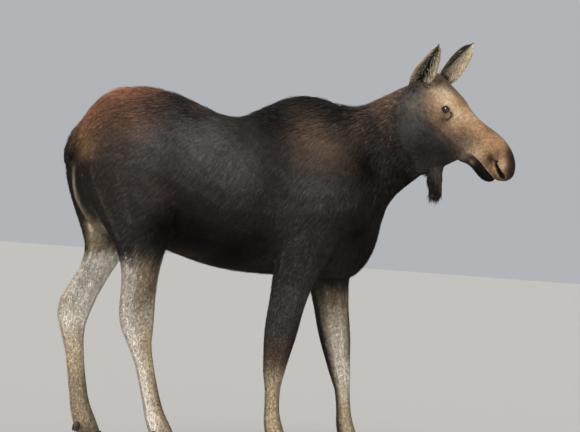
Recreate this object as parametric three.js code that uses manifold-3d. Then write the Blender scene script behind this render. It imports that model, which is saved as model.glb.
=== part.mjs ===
// A life-size cow moose standing still, its head turned to its right, as a museum model.
// Millimetres, +Z up, +X towards the chest, +Y to the animal's left, the floor at z = 0.
// The flesh is lofted in one straight piece, turned at the neck, and then parted with thin cuts.
import * as THREE from 'three';
import { mergeVertices } from 'three/addons/utils/BufferGeometryUtils.js';
import Module from 'manifold-3d';

const wasm = await Module();
wasm.setup();
const { Manifold, Mesh } = wasm;
const { clamp, degToRad, lerp } = THREE.MathUtils;

const CUT = 0.4; // width of the thin cuts between neighbouring pieces
const LEFT = 1;
const RIGHT = -1;

// ---- The neck's turn and the head's place -----------------------------------------------------

const NECK_TURN = degToRad(37); // how far the head is turned to the right
const TURN_START = 670; // where along the body the turn begins, and how long it is
const TURN_LENGTH = 330;
const TURN_LEAN = 0.35; // the slices that turn lean back by this much for each unit of height
const TURN_HEIGHT = 1400;
const POLL = [985, 0, 1885]; // the crown of the head before the turn
const HEAD_PITCH = degToRad(40); // how far the nose points down

// ---- Sections ---------------------------------------------------------------------------------
// Each section has its two profile points [x, z], its half width, the share of its depth at which
// it is widest, and how full its two halves are: 2 is an ellipse, more is squarer, less is sharper.

const TRUNK = [
  { top: [-716, 1410], bottom: [-706, 1280], half: 46, widest: 0.5, ridge: 2, keel: 2 },
  { top: [-692, 1494], bottom: [-690, 1170], half: 116, widest: 0.52, ridge: 2, keel: 2.1 },
  { top: [-634, 1592], bottom: [-634, 1080], half: 170, widest: 0.56, ridge: 1.9, keel: 2.2 },
  { top: [-560, 1668], bottom: [-560, 1010], half: 194, widest: 0.6, ridge: 1.8, keel: 2.2 },
  { top: [-450, 1698], bottom: [-430, 980], half: 214, widest: 0.62, ridge: 1.75, keel: 2.2 },
  { top: [-330, 1699], bottom: [-310, 968], half: 228, widest: 0.6, ridge: 1.75, keel: 2.1 },
  { top: [-210, 1670], bottom: [-200, 938], half: 242, widest: 0.52, ridge: 1.8, keel: 2.1 },
  { top: [-90, 1628], bottom: [-80, 904], half: 254, widest: 0.48, ridge: 1.85, keel: 2.1 },
  { top: [40, 1598], bottom: [50, 880], half: 256, widest: 0.48, ridge: 1.85, keel: 2.1 },
  { top: [160, 1640], bottom: [180, 872], half: 246, widest: 0.46, ridge: 1.75, keel: 2.1 },
  { top: [280, 1704], bottom: [310, 872], half: 226, widest: 0.44, ridge: 1.6, keel: 2.0 },
  { top: [390, 1734], bottom: [430, 868], half: 204, widest: 0.43, ridge: 1.5, keel: 1.95 },
  { top: [480, 1722], bottom: [540, 860], half: 186, widest: 0.45, ridge: 1.55, keel: 1.9 },
  { top: [560, 1696], bottom: [640, 872], half: 168, widest: 0.5, ridge: 1.7, keel: 1.85 },
  { top: [620, 1694], bottom: [722, 945], half: 150, widest: 0.55, ridge: 1.8, keel: 1.9 },
  { top: [680, 1716], bottom: [764, 1060], half: 136, widest: 0.57, ridge: 1.9, keel: 1.9 },
  { top: [745, 1752], bottom: [778, 1175], half: 122, widest: 0.58, ridge: 1.95, keel: 1.9 },
  { top: [815, 1796], bottom: [812, 1265], half: 108, widest: 0.57, ridge: 2, keel: 1.9 },
  { top: [888, 1836], bottom: [880, 1335], half: 96, widest: 0.56, ridge: 2, keel: 1.9 },
  { top: [950, 1846], bottom: [965, 1396], half: 84, widest: 0.55, ridge: 2, keel: 1.9 },
  { top: [990, 1790], bottom: [1035, 1428], half: 80, widest: 0.5, ridge: 2, keel: 2 },
  { top: [1040, 1700], bottom: [1088, 1458], half: 70, widest: 0.5, ridge: 2, keel: 2 },
  { top: [1080, 1600], bottom: [1128, 1478], half: 46, widest: 0.5, ridge: 2, keel: 2 },
];

// The head lies along its own x from the crown, with the brow line near z = 0.
const HEAD = [
  { top: [-46, -80], bottom: [-14, -200], half: 44, widest: 0.5, ridge: 2, keel: 2 },
  { top: [-24, -18], bottom: [6, -262], half: 72, widest: 0.52, ridge: 2, keel: 2 },
  { top: [20, 4], bottom: [48, -292], half: 84, widest: 0.56, ridge: 1.9, keel: 2 },
  { top: [75, 6], bottom: [95, -302], half: 90, widest: 0.62, ridge: 2, keel: 2 },
  { top: [130, 4], bottom: [145, -298], half: 96, widest: 0.68, ridge: 2.2, keel: 1.9 },
  { top: [182, 0], bottom: [192, -284], half: 99, widest: 0.72, ridge: 2.4, keel: 1.8 },
  { top: [235, -8], bottom: [245, -266], half: 84, widest: 0.68, ridge: 2.3, keel: 1.8 },
  { top: [290, -11], bottom: [298, -244], half: 69, widest: 0.6, ridge: 2.2, keel: 1.9 },
  { top: [345, -7], bottom: [348, -224], half: 60, widest: 0.56, ridge: 2.2, keel: 2 },
  { top: [400, 3], bottom: [394, -194], half: 58, widest: 0.54, ridge: 2.2, keel: 2.4 },
  { top: [450, 8], bottom: [442, -158], half: 60, widest: 0.48, ridge: 2.3, keel: 3.2 },
  { top: [502, 4], bottom: [492, -150], half: 64, widest: 0.44, ridge: 2.3, keel: 3.4 },
  { top: [550, -12], bottom: [536, -152], half: 66, widest: 0.42, ridge: 2.3, keel: 3.2 },
  { top: [588, -38], bottom: [574, -150], half: 60, widest: 0.44, ridge: 2.2, keel: 2.6 },
  { top: [613, -72], bottom: [602, -136], half: 42, widest: 0.48, ridge: 2.2, keel: 2.2 },
  { top: [620, -92], bottom: [614, -120], half: 20, widest: 0.5, ridge: 2, keel: 2 },
];

const JAW = [
  { top: [300, -130], bottom: [300, -225], half: 38, widest: 0.5, ridge: 2, keel: 2 },
  { top: [372, -126], bottom: [374, -222], half: 46, widest: 0.5, ridge: 2.6, keel: 2 },
  { top: [430, -128], bottom: [430, -198], half: 46, widest: 0.5, ridge: 3, keel: 2 },
  { top: [480, -132], bottom: [478, -201], half: 46, widest: 0.52, ridge: 3, keel: 2 },
  { top: [524, -138], bottom: [520, -202], half: 42, widest: 0.5, ridge: 2.6, keel: 2 },
  { top: [556, -148], bottom: [550, -190], half: 28, widest: 0.5, ridge: 2, keel: 2 },
  { top: [566, -160], bottom: [562, -176], half: 14, widest: 0.5, ridge: 2, keel: 2 },
];

// The bell hangs under the throat.
const BELL = [
  { front: [1066, 1500], back: [968, 1470], half: 34 },
  { front: [1058, 1420], back: [974, 1405], half: 30 },
  { front: [1062, 1362], back: [980, 1358], half: 26 },
  { front: [1066, 1322], back: [985, 1320], half: 21 },
  { front: [1060, 1298], back: [992, 1297], half: 14 },
  { front: [1042, 1284], back: [1010, 1284], half: 6 },
];

// The tail lies flat between the buttocks.
const TAIL = [
  { top: [-652, 1544], bottom: [-640, 1440], half: 34, widest: 0.5, ridge: 2, keel: 2 },
  { top: [-696, 1508], bottom: [-672, 1420], half: 38, widest: 0.5, ridge: 2, keel: 2 },
  { top: [-727, 1463], bottom: [-690, 1398], half: 38, widest: 0.5, ridge: 2, keel: 2 },
  { top: [-747, 1412], bottom: [-702, 1374], half: 35, widest: 0.5, ridge: 2, keel: 2 },
  { top: [-757, 1362], bottom: [-712, 1342], half: 28, widest: 0.5, ridge: 2, keel: 2 },
  { top: [-751, 1324], bottom: [-730, 1314], half: 13, widest: 0.5, ridge: 2, keel: 2 },
];

// How thick a leg is at places down its joints, which are counted from 0 at its root: half its
// depth and half its width, and how much higher its front edge is than its back edge.
const FORE_GIRTH = [
  { at: 0, depth: 152, half: 50, rise: -20 },
  { at: 0.3, depth: 172, half: 74, rise: -20 },
  { at: 0.57, depth: 156, half: 80, rise: -20 },
  { at: 0.78, depth: 129, half: 75, rise: -10 },
  { at: 1, depth: 102, half: 65, rise: -2, joint: 'elbow' },
  { at: 1.3, depth: 88, half: 56, rise: -2 },
  { at: 1.55, depth: 83, half: 50, rise: -2 },
  { at: 1.78, depth: 75, half: 48, rise: -2 },
  { at: 2, depth: 65, half: 48, rise: -2, joint: 'knee' },
  { at: 2.47, depth: 52, half: 40, rise: 0 },
  { at: 3, depth: 38, half: 32, rise: 0 },
  { at: 3.6, depth: 37, half: 33, rise: 4 },
  { at: 4, depth: 43, half: 40, rise: 10, joint: 'fetlock' },
  { at: 4.53, depth: 46, half: 43, rise: 28 },
  { at: 5, depth: 44, half: 44, rise: 36 },
];
const HIND_GIRTH = [
  { at: 0, depth: 188, half: 80, rise: 50 },
  { at: 0.33, depth: 242, half: 103, rise: 20 },
  { at: 0.66, depth: 216, half: 107, rise: 20 },
  { at: 0.95, depth: 158, half: 92, rise: 30 },
  { at: 1.2, depth: 108, half: 74, rise: 25, joint: 'stifle' },
  { at: 1.43, depth: 90, half: 59, rise: 25 },
  { at: 1.66, depth: 85, half: 48, rise: 5 },
  { at: 1.88, depth: 86, half: 45, rise: 0 },
  { at: 2.15, depth: 78, half: 43, rise: 0, joint: 'hock' },
  { at: 2.5, depth: 59, half: 39, rise: 0 },
  { at: 3, depth: 46, half: 34, rise: 0 },
  { at: 3.43, depth: 45, half: 34, rise: 0 },
  { at: 3.77, depth: 46, half: 35, rise: 6 },
  { at: 4, depth: 51, half: 41, rise: 14, joint: 'fetlock' },
  { at: 4.5, depth: 53, half: 44, rise: 30 },
  { at: 5, depth: 47, half: 44, rise: 36 },
];

// Each leg's root, elbow or stifle, knee or hock, mid cannon, fetlock and coronet as [x, z], and
// how far out from the body's middle it stands at each of them.
const LEGS = {
  fore_left: {
    side: LEFT,
    girth: FORE_GIRTH,
    joints: [[500, 1310], [582, 851], [651, 507], [689, 345], [712, 191], [754, 68]],
    out: [120, 138, 134, 132, 130, 130],
  },
  fore_right: {
    side: RIGHT,
    girth: FORE_GIRTH,
    joints: [[485, 1310], [345, 851], [295, 507], [289, 345], [302, 191], [345, 68]],
    out: [120, 142, 138, 136, 134, 134],
  },
  hind_left: {
    side: LEFT,
    girth: HIND_GIRTH,
    joints: [[-500, 1425], [-466, 1010], [-618, 660], [-604, 440], [-556, 185], [-504, 70]],
    out: [118, 146, 148, 145, 142, 142],
  },
  hind_right: {
    side: RIGHT,
    girth: HIND_GIRTH,
    joints: [[-500, 1425], [-388, 1004], [-380, 624], [-327, 420], [-256, 184], [-197, 70]],
    out: [118, 146, 148, 145, 142, 142],
  },
};

// An ear is a cupped leaf from its root to its tip; these are shares of its length, its half
// width, the depth of its cup and its thickness there. Places are in the head's frame.
const EAR_LEFT = {
  root: [28, 66, -62],
  tip: [0, 122, 194],
  opening: [0.85, -0.36, 0.1],
  tipOpening: [0.7, -0.7, 0.1],
  bow: -6,
  slope: 20,
  cut: 0.24,
};
const EAR_RIGHT = {
  root: [14, -84, -98],
  tip: [-26, -172, 140],
  opening: [0.4, -0.85, 0.0],
  tipOpening: [1.0, -0.12, -0.2],
  bow: -14,
  slope: 42,
  cut: 0.17,
};
const EAR_LEAF = [
  { half: 36, cup: 40, thick: 12 },
  { half: 48, cup: 46, thick: 11 },
  { half: 56, cup: 45, thick: 10 },
  { half: 57, cup: 40, thick: 9 },
  { half: 54, cup: 32, thick: 8 },
  { half: 46, cup: 24, thick: 7 },
  { half: 33, cup: 15, thick: 6 },
  { half: 12, cup: 5, thick: 5 },
];

const EYE = { at: [188, 87, -72], radius: 21 };
const SOCKET_GAP = 0.3;

// The claws stand this far out to each side, with their toes and heels beyond the foot's ends.
const CLAW = { spread: 25, half: 24, toe: 50, heel: 6, splay: 0.06 };
const DEWCLAW = { half: [13, 12, 27], spread: 25, above: 46, behind: 20, tilt: degToRad(24) };

// Where muscle and bone swell the flesh, or hollows sink it, on both sides alike.
const SWELLINGS = [
  { name: 'shoulder blade', at: [430, 190, 1420], reach: 190, by: 16 },
  { name: 'point of shoulder', at: [600, 150, 1200], reach: 120, by: 22 },
  { name: 'upper arm', at: [470, 210, 1180], reach: 170, by: 20 },
  { name: 'hip', at: [-300, 150, 1610], reach: 90, by: 16 },
  { name: 'haunch', at: [-520, 190, 1380], reach: 190, by: 16 },
  { name: 'flank', at: [-170, 230, 1400], reach: 130, by: -24 },
  { name: 'behind shoulder', at: [230, 230, 1300], reach: 120, by: -14 },
  { name: 'groove before shoulder', at: [600, 140, 1440], reach: 110, by: -14 },
];

const HEAD_SWELLINGS = [
  { name: 'brow', at: [165, 90, -30], reach: 42, by: 7 },
  { name: 'cheekbone', at: [250, 80, -115], reach: 60, by: 6 },
  { name: 'cheek', at: [80, 85, -200], reach: 80, by: 8 },
  { name: 'hollow before the eye', at: [285, 65, -60], reach: 50, by: -5 },
  { name: 'nostril', at: [560, 60, -80], reach: 36, by: 5 },
];

// ---- Where the flesh is parted ----------------------------------------------------------------
// Each line is drawn in profile, and all that lies before or below it is the piece parted off.

const NECK_LINE = [
  [560, 2200],
  [604, 1706],
  [660, 1540],
  [725, 1360],
  [785, 1200],
  [830, 1080],
  [1900, 1080],
  [1900, 2200],
];
const CHEEK_LINE = [
  [872, 2200],
  [884, 1850],
  [846, 1765],
  [822, 1690],
  [828, 1620],
  [862, 1550],
  [912, 1470],
  [948, 1390],
  [955, 1220],
  [1900, 1220],
  [1900, 2200],
];
const MOUTH_LINE = [
  [384, -260],
  [396, -165],
  [407, -146],
  [472, -142],
  [540, -148],
  [575, -158],
  [660, -185],
  [660, -260],
];
const UP = new THREE.Vector3(0, 0, 1);
const BELL_CUT = 1392; // the height where the bell is parted from the throat
const TAIL_CUT = { normal: new THREE.Vector3(-1, 0, -1).normalize(), offset: -488 };

// ---- Lofting ----------------------------------------------------------------------------------

// The Catmull-Rom value at t, from 0 to 1, through evenly counted knots.
function along(knots, t) {
  const last = knots.length - 1;
  const i = Math.min(Math.floor(t * last), last - 1);
  const u = t * last - i;
  const [a, b, c, d] = [i - 1, i, i + 1, i + 2].map((k) => knots[clamp(k, 0, last)]);
  return b + 0.5 * u * (c - a + u * (2 * a - 5 * b + 4 * c - d + u * (3 * (b - c) + d - a)));
}

// One section's outline, as points round it.
function outline(section, sides) {
  const centre = [0, 1].map((k) => lerp(section.low[k], section.high[k], section.widest));
  return Array.from({ length: sides }, (_, i) => {
    const angle = (2 * Math.PI * (i + 0.5)) / sides;
    const [c, s] = [Math.cos(angle), Math.sin(angle)];
    const power = 2 / (s > 0 ? section.ridge : section.keel);
    const edge = s > 0 ? section.high : section.low;
    const out = Math.abs(s) ** power;
    return new THREE.Vector3(
      lerp(centre[0], edge[0], out),
      section.y + section.half * Math.sign(c) * Math.abs(c) ** power,
      lerp(centre[1], edge[1], out),
    );
  });
}

// The outlines of a part whose sections are blended smoothly into this many rings.
function rings(sections, count, sides) {
  const knots = sections.map((s) => ({
    high: s.top ?? s.front,
    low: s.bottom ?? s.back,
    half: s.half,
    y: s.y ?? 0,
    widest: s.widest ?? 0.5,
    ridge: s.ridge ?? 2.1,
    keel: s.keel ?? 2.1,
  }));
  const value = (pick, t) => along(knots.map(pick), t);
  return Array.from({ length: count }, (_, i) => {
    const t = i / (count - 1);
    return outline(
      {
        high: [value((k) => k.high[0], t), value((k) => k.high[1], t)],
        low: [value((k) => k.low[0], t), value((k) => k.low[1], t)],
        half: value((k) => k.half, t),
        y: value((k) => k.y, t),
        widest: value((k) => k.widest, t),
        ridge: value((k) => k.ridge, t),
        keel: value((k) => k.keel, t),
      },
      sides,
    );
  });
}

// A closed geometry through rings of equal count, each end closed by a point at its middle.
function loft(loops) {
  const sides = loops[0].length;
  const middle = (loop) =>
    loop.reduce((sum, p) => sum.add(p), new THREE.Vector3()).divideScalar(sides);
  const points = [...loops.flat(), middle(loops[0]), middle(loops.at(-1))];
  const faces = [];
  const [first, last] = [points.length - 2, points.length - 1];
  const end = (loops.length - 1) * sides;
  for (let s = 0; s < sides; s++) {
    const next = (s + 1) % sides;
    faces.push(first, next, s, last, end + s, end + next);
    for (let r = 0; r < end; r += sides) {
      faces.push(r + s, r + next, r + sides + s, r + next, r + sides + next, r + sides + s);
    }
  }
  const geometry = new THREE.BufferGeometry().setFromPoints(points);
  geometry.setIndex(faces);
  return geometry;
}

// Moves each vertex of a geometry by a function of its place.
function reshape(geometry, change) {
  const position = geometry.getAttribute('position');
  const point = new THREE.Vector3();
  for (let i = 0; i < position.count; i++) {
    change(point.fromBufferAttribute(position, i));
    position.setXYZ(i, point.x, point.y, point.z);
  }
  return geometry;
}

// Swells the flesh outwards where muscle and bone lie under it.
function swelledBy(swellings) {
  return (point) => {
    const side = Math.sign(point.y);
    for (const { at, reach, by } of swellings) {
      const gap = Math.hypot(point.x - at[0], Math.abs(point.y) - at[1], point.z - at[2]);
      point.y += side * by * Math.exp(-((gap / reach) ** 2));
    }
  };
}

// Carries a point of the straight body to its place in the body with its neck turned.
function turn(point) {
  const rise = TURN_LEAN * (point.z - TURN_HEIGHT);
  const run = point.x + rise - TURN_START;
  if (run <= 0) return;
  const radius = TURN_LENGTH / NECK_TURN;
  const angle = (NECK_TURN * Math.min(run, TURN_LENGTH)) / TURN_LENGTH;
  const beyond = Math.max(run - TURN_LENGTH, 0) - rise;
  const [c, s] = [Math.cos(angle), Math.sin(angle)];
  const across = point.y;
  point.x = TURN_START + radius * s + beyond * c + across * s;
  point.y = -radius * (1 - c) - beyond * s + across * c;
}

// From the head's own frame to the straight body's.
const HEAD_PLACE = new THREE.Matrix4()
  .makeTranslation(...POLL)
  .multiply(new THREE.Matrix4().makeRotationY(HEAD_PITCH));

function placeOnHead(geometry) {
  return reshape(geometry.applyMatrix4(HEAD_PLACE), turn);
}

// ---- Solids -----------------------------------------------------------------------------------

function solidOf(geometry) {
  const bare = new THREE.BufferGeometry()
    .setAttribute('position', geometry.getAttribute('position'))
    .setIndex(geometry.index);
  const merged = mergeVertices(bare, 1e-4);
  const triVerts = new Uint32Array(merged.index.array);
  const vertProperties = merged.getAttribute('position').array;
  const solid = new Manifold(new Mesh({ numProp: 3, vertProperties, triVerts }));
  if (solid.volume() > 0) return solid;
  for (let i = 0; i < triVerts.length; i += 3) {
    [triVerts[i], triVerts[i + 1]] = [triVerts[i + 1], triVerts[i]];
  }
  return new Manifold(new Mesh({ numProp: 3, vertProperties, triVerts }));
}

function geometryOf(solid) {
  const mesh = solid.getMesh();
  const geometry = new THREE.BufferGeometry();
  geometry.setAttribute('position', new THREE.BufferAttribute(mesh.vertProperties, 3));
  geometry.setIndex(new THREE.BufferAttribute(mesh.triVerts, 1));
  geometry.computeVertexNormals();
  return geometry;
}

// The two pieces of a solid on either side of a plane: [before it, beyond it].
function splitAt(solid, normal, offset) {
  const back = normal.clone().negate();
  return [
    solid.trimByPlane(back.toArray(), CUT / 2 - offset),
    solid.trimByPlane(normal.toArray(), offset + CUT / 2),
  ];
}

// A slab as wide as the body whose profile is the line, moved by a little.
function region(line, place, [dx, dz] = [0, 0]) {
  const ring = (y) => line.map(([x, z]) => new THREE.Vector3(x + dx, y, z + dz));
  return solidOf(place(loft([-420, 420].map(ring))));
}

// The two pieces of a solid on either side of a line drawn in profile: [the rest, the piece].
function partAlong(solid, line, place, widen) {
  return [
    solid.subtract(region(line, place, widen)),
    solid.intersect(region(line, place)),
  ];
}

// ---- The flesh --------------------------------------------------------------------------------

const trunkLoft = loft(rings(TRUNK, 36, 22));
const headLoft = loft(rings(HEAD, 26, 20));
const turned = (geometry) => reshape(geometry, turn);
const bodySolid = solidOf(turned(reshape(trunkLoft, swelledBy(SWELLINGS))));
const headSolid = solidOf(placeOnHead(reshape(headLoft, swelledBy(HEAD_SWELLINGS))));
const jawSolid = solidOf(placeOnHead(loft(rings(JAW, 11, 12))));

const [chin, lowerJaw] = partAlong(jawSolid, MOUTH_LINE, placeOnHead, [-CUT, CUT]);

const bellSolid = solidOf(turned(loft(rings(BELL, 10, 10))));
const [bell, bellRoot] = splitAt(bellSolid, UP, BELL_CUT);

const tailSolid = solidOf(loft(rings(TAIL, 9, 10)));
const [tailRoot, tailEnd] = splitAt(tailSolid, TAIL_CUT.normal, TAIL_CUT.offset);

function eyeball(side, extra) {
  const [x, y, z] = EYE.at;
  const ball = new THREE.SphereGeometry(EYE.radius + extra, 10, 6);
  return solidOf(placeOnHead(ball.rotateX(Math.PI / 2).translate(x, side * y, z)));
}

// An ear's shell between its root and its tip.
function ear({ root, tip, opening, tipOpening, bow, slope }) {
  const start = new THREE.Vector3(...root);
  const axis = new THREE.Vector3(...tip).sub(start);
  const length = axis.length();
  axis.normalize();
  const half = 6;
  const shell = Array.from({ length: 12 }, (_, i) => {
    const t = i / 11;
    const value = (key) => along(EAR_LEAF.map((leaf) => leaf[key]), t);
    const face = new THREE.Vector3(...opening).lerp(new THREE.Vector3(...tipOpening), t);
    face.projectOnPlane(axis).normalize();
    const across = axis.clone().cross(face);
    const centre = start.clone().addScaledVector(axis, length * t);
    centre.addScaledVector(across, bow * Math.sin(Math.PI * t));
    const [halfWidth, cup, thick] = ['half', 'cup', 'thick'].map(value);
    const at = (w, inner) =>
      centre
        .clone()
        .addScaledVector(axis, slope * w * (1 - t) ** 2)
        .addScaledVector(across, w * (halfWidth - inner * 0.3 * thick))
        .addScaledVector(face, cup * (w * w - 0.5) + inner * thick * (1 - 0.55 * w ** 4));
    const ws = Array.from({ length: half }, (_, k) => (2 * k) / (half - 1) - 1);
    return [...ws.map((w) => at(w, 0)), ...ws.reverse().map((w) => at(w, 1))];
  });
  return { solid: solidOf(placeOnHead(loft(shell))), start, axis, length };
}

// The plane that parts an ear, carried to its place with the turned head.
function partEar(spec) {
  const { solid, start, axis, length } = ear(spec);
  const [low, high] = [0, 1].map((far) => {
    const point = start.clone().addScaledVector(axis, length * spec.cut + far);
    point.applyMatrix4(HEAD_PLACE);
    turn(point);
    return point;
  });
  const normal = high.sub(low).normalize();
  return splitAt(solid, normal, normal.dot(low));
}

const [earRootLeft, earLeft] = partEar(EAR_LEFT);
const [earRootRight, earRight] = partEar(EAR_RIGHT);

// ---- The legs ---------------------------------------------------------------------------------

// The plane through a leg's section, facing up the leg.
function sectionPlane({ front, back }) {
  const normal = new THREE.Vector3(back[1] - front[1], 0, front[0] - back[0]).normalize();
  return [normal, normal.x * front[0] + normal.z * front[1]];
}

// One of a foot's two horny claws, flat-soled on the floor and cut off under the foot.
function claw(section, side) {
  const { front, back, y } = section;
  const levels = [0, 0.5, 1.25].map((share) => {
    const heel = lerp(back[0] + CLAW.heel, back[0], share);
    const toe = lerp(front[0] + CLAW.toe, front[0], share);
    const middle = (heel + toe) / 2;
    const half = CLAW.half * (1 - 0.1 * share);
    return Array.from({ length: 11 }, (_, i) => {
      const angle = (2 * Math.PI * i) / 11;
      const [c, s] = [Math.cos(angle), Math.sin(angle)];
      const reach = ((toe - heel) / 2) * c;
      const width = half * s * (1 - 0.28 * c) * (s * side > 0 ? 1.06 : 0.86);
      const across = y + side * (CLAW.spread + CLAW.splay * reach) + width;
      return new THREE.Vector3(middle + reach, across, front[1] * share);
    });
  });
  const [normal, offset] = sectionPlane(section);
  return splitAt(solidOf(loft(levels)), normal, offset - CUT)[0];
}

// A dewclaw, the small horny teardrop behind a foot.
function dewclaw({ back, y }, side, extra) {
  const shape = new THREE.SphereGeometry(1, 7, 4).rotateX(Math.PI / 2);
  reshape(shape, (p) => {
    p.x *= 1 + 0.45 * p.z;
    p.y *= 1 + 0.45 * p.z;
  });
  const [hx, hy, hz] = DEWCLAW.half.map((half) => half + extra);
  shape.scale(hx, hy, hz).rotateY(DEWCLAW.tilt).rotateZ(-side * 0.35);
  shape.translate(back[0] - DEWCLAW.behind, y + side * DEWCLAW.spread, back[1] + DEWCLAW.above);
  return solidOf(shape);
}

// A leg's sections, spread along its joints.
function legSections({ side, girth, joints, out }) {
  const last = joints.length - 1;
  return girth.map(({ at, depth, half, rise, joint }) => {
    const value = (knots) => along(knots, at / last);
    const [x, z] = [0, 1].map((k) => value(joints.map((point) => point[k])));
    return {
      front: [x + depth, z + rise / 2],
      back: [x - depth, z - rise / 2],
      half,
      y: side * value(out),
      joint,
    };
  });
}

const pieces = {};
const legRoots = Object.entries(LEGS).map(([name, leg]) => {
  const sections = legSections(leg);
  const [upper, middle, lower] = sections.filter((s) => s.joint).map(sectionPlane);
  const [rest, root] = splitAt(solidOf(loft(rings(sections, 25, 10))), ...upper);
  const [below, upperLeg] = splitAt(rest, ...middle);
  const [foot, cannon] = splitAt(below, ...lower);
  const last = sections.at(-1);
  pieces[`${name}_upper_leg`] = upperLeg;
  pieces[`${name}_cannon`] = cannon;
  pieces[`${name}_foot`] = foot
    .subtract(dewclaw(last, LEFT, SOCKET_GAP))
    .subtract(dewclaw(last, RIGHT, SOCKET_GAP));
  for (const [label, side] of Object.entries({ left: LEFT, right: RIGHT })) {
    pieces[`${name}_claw_${label}`] = claw(last, side);
    pieces[`${name}_dewclaw_${label}`] = dewclaw(last, side, 0);
  }
  return root;
});

// ---- The parts put together -------------------------------------------------------------------

const roots = [chin, bellRoot, tailRoot, earRootLeft, earRootRight, ...legRoots];
const flesh = roots.reduce((sum, root) => sum.add(root), bodySolid.add(headSolid));
const [trunk, front] = partAlong(flesh, NECK_LINE, turned, [-CUT, 0]);
const [neck, wholeHead] = partAlong(front, CHEEK_LINE, turned, [-CUT, 0]);
const mouth = region(MOUTH_LINE, placeOnHead, [-CUT, CUT]);
const [tail] = tailEnd
  .subtract(trunk.translate([-CUT, 0, 0]))
  .decompose()
  .sort((a, b) => b.volume() - a.volume());
const sockets = eyeball(LEFT, SOCKET_GAP).add(eyeball(RIGHT, SOCKET_GAP));

Object.assign(pieces, {
  trunk,
  neck,
  tail,
  bell,
  head: wholeHead.subtract(mouth).subtract(sockets),
  lower_jaw: lowerJaw,
  ear_left: earLeft,
  ear_right: earRight,
  eye_left: eyeball(LEFT, 0),
  eye_right: eyeball(RIGHT, 0),
});

const LOOKS = {
  darkCoat: { color: '#2a2624', roughness: 0.9, metalness: 0 },
  faceCoat: { color: '#6a5444', roughness: 0.9, metalness: 0 },
  paleCoat: { color: '#8f8576', roughness: 0.9, metalness: 0 },
  horn: { color: '#2b2622', roughness: 0.45, metalness: 0 },
  eye: { color: '#140d09', roughness: 0.1, metalness: 0 },
};

function lookOf(name) {
  if (name.startsWith('eye')) return LOOKS.eye;
  if (name.includes('claw')) return LOOKS.horn;
  if (name.startsWith('head') || name.startsWith('ear')) return LOOKS.faceCoat;
  if (name.endsWith('cannon') || name.endsWith('foot')) return LOOKS.paleCoat;
  return name.startsWith('hind') ? LOOKS.paleCoat : LOOKS.darkCoat;
}

// Puts a piece in the group as a mesh that is placed by its own middle.
function addPiece(group, [name, solid]) {
  const geometry = geometryOf(solid);
  geometry.computeBoundingBox();
  const middle = geometry.boundingBox.getCenter(new THREE.Vector3());
  geometry.translate(-middle.x, -middle.y, -middle.z);
  const mesh = new THREE.Mesh(geometry, new THREE.MeshStandardMaterial(lookOf(name)));
  mesh.name = name;
  mesh.position.copy(middle);
  group.add(mesh);
}

const moose = new THREE.Group();
moose.name = 'moose';
Object.entries(pieces).forEach((piece) => addPiece(moose, piece));

// The origin is on the floor under the middle of the whole.
const extent = new THREE.Box3().setFromObject(moose);
const centre = extent.getCenter(new THREE.Vector3());
moose.position.set(-centre.x, -centre.y, -extent.min.z);

export default moose;
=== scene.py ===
import math

import bmesh
import bpy
import numpy as np
from mathutils import Matrix, Vector
from mathutils.bvhtree import BVHTree


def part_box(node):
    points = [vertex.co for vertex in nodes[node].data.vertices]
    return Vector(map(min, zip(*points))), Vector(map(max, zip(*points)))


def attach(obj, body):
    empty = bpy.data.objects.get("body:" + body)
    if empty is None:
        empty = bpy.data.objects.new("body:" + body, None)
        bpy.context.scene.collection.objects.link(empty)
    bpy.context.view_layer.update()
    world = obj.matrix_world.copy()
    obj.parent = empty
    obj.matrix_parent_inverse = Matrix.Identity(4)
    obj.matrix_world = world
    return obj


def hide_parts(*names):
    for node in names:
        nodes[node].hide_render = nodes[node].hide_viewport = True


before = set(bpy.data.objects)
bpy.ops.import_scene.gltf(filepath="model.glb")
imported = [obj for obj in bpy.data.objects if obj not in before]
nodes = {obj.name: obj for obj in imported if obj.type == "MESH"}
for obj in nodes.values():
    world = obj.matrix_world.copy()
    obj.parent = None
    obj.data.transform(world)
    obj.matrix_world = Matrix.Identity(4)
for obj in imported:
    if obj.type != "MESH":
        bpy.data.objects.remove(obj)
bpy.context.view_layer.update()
collection = bpy.context.scene.collection
rng = np.random.default_rng(7)

# ---- The hide -------------------------------------------------------------------------------------
# One skin over the whole animal, from the muzzle to the coronets, so that no seam shows between
# head, neck, trunk and legs. It is cast from the flesh solids as one body, eased smooth, and sunk
# below them by the coat's depth. The face is then worked up: lids, nostrils, lips and folds.

LEGS = ("fore_left", "fore_right", "hind_left", "hind_right")
EYES = ("eye_left", "eye_right")
FLESH = ["trunk", "neck", "head", "lower_jaw", "bell", "tail", "ear_left", "ear_right"]
FLESH += [f"{leg}_{part}" for leg in LEGS for part in ("upper_leg", "cannon", "foot")]
CAST_GRAIN = 0.0035  # the voxels that the hide is cast in
HIDE_FACES = 120_000

# The neck's turn, and the head's place before it.
TURN = math.radians(37)
TURN_START = 0.670
TURN_LENGTH = 0.330
TURN_RADIUS = TURN_LENGTH / TURN
TURN_LEAN = 0.35
TURN_HEIGHT = 1.400
POLL = np.array([0.985, 0, 1.885])
PITCH = math.radians(40)
EYE = np.array([0.188, 0.087, -0.072])  # in the head's frame
EYE_RADIUS = 0.021


def rows(points):
    """Points as an array with one in each row."""
    return np.asarray(points, float).reshape(-1, 3)


def carried(points):
    """Straight body to turned body."""
    x, y, z = rows(points).T
    run = x + TURN_LEAN * (z - TURN_HEIGHT) - TURN_START
    angle = TURN * np.clip(run / TURN_LENGTH, 0, 1)
    along = x - TURN_START - TURN_RADIUS * angle
    s, c = np.sin(angle), np.cos(angle)
    across = TURN_RADIUS + y
    return np.stack([TURN_START + across * s + along * c, across * c - along * s - TURN_RADIUS, z], 1)


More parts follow.
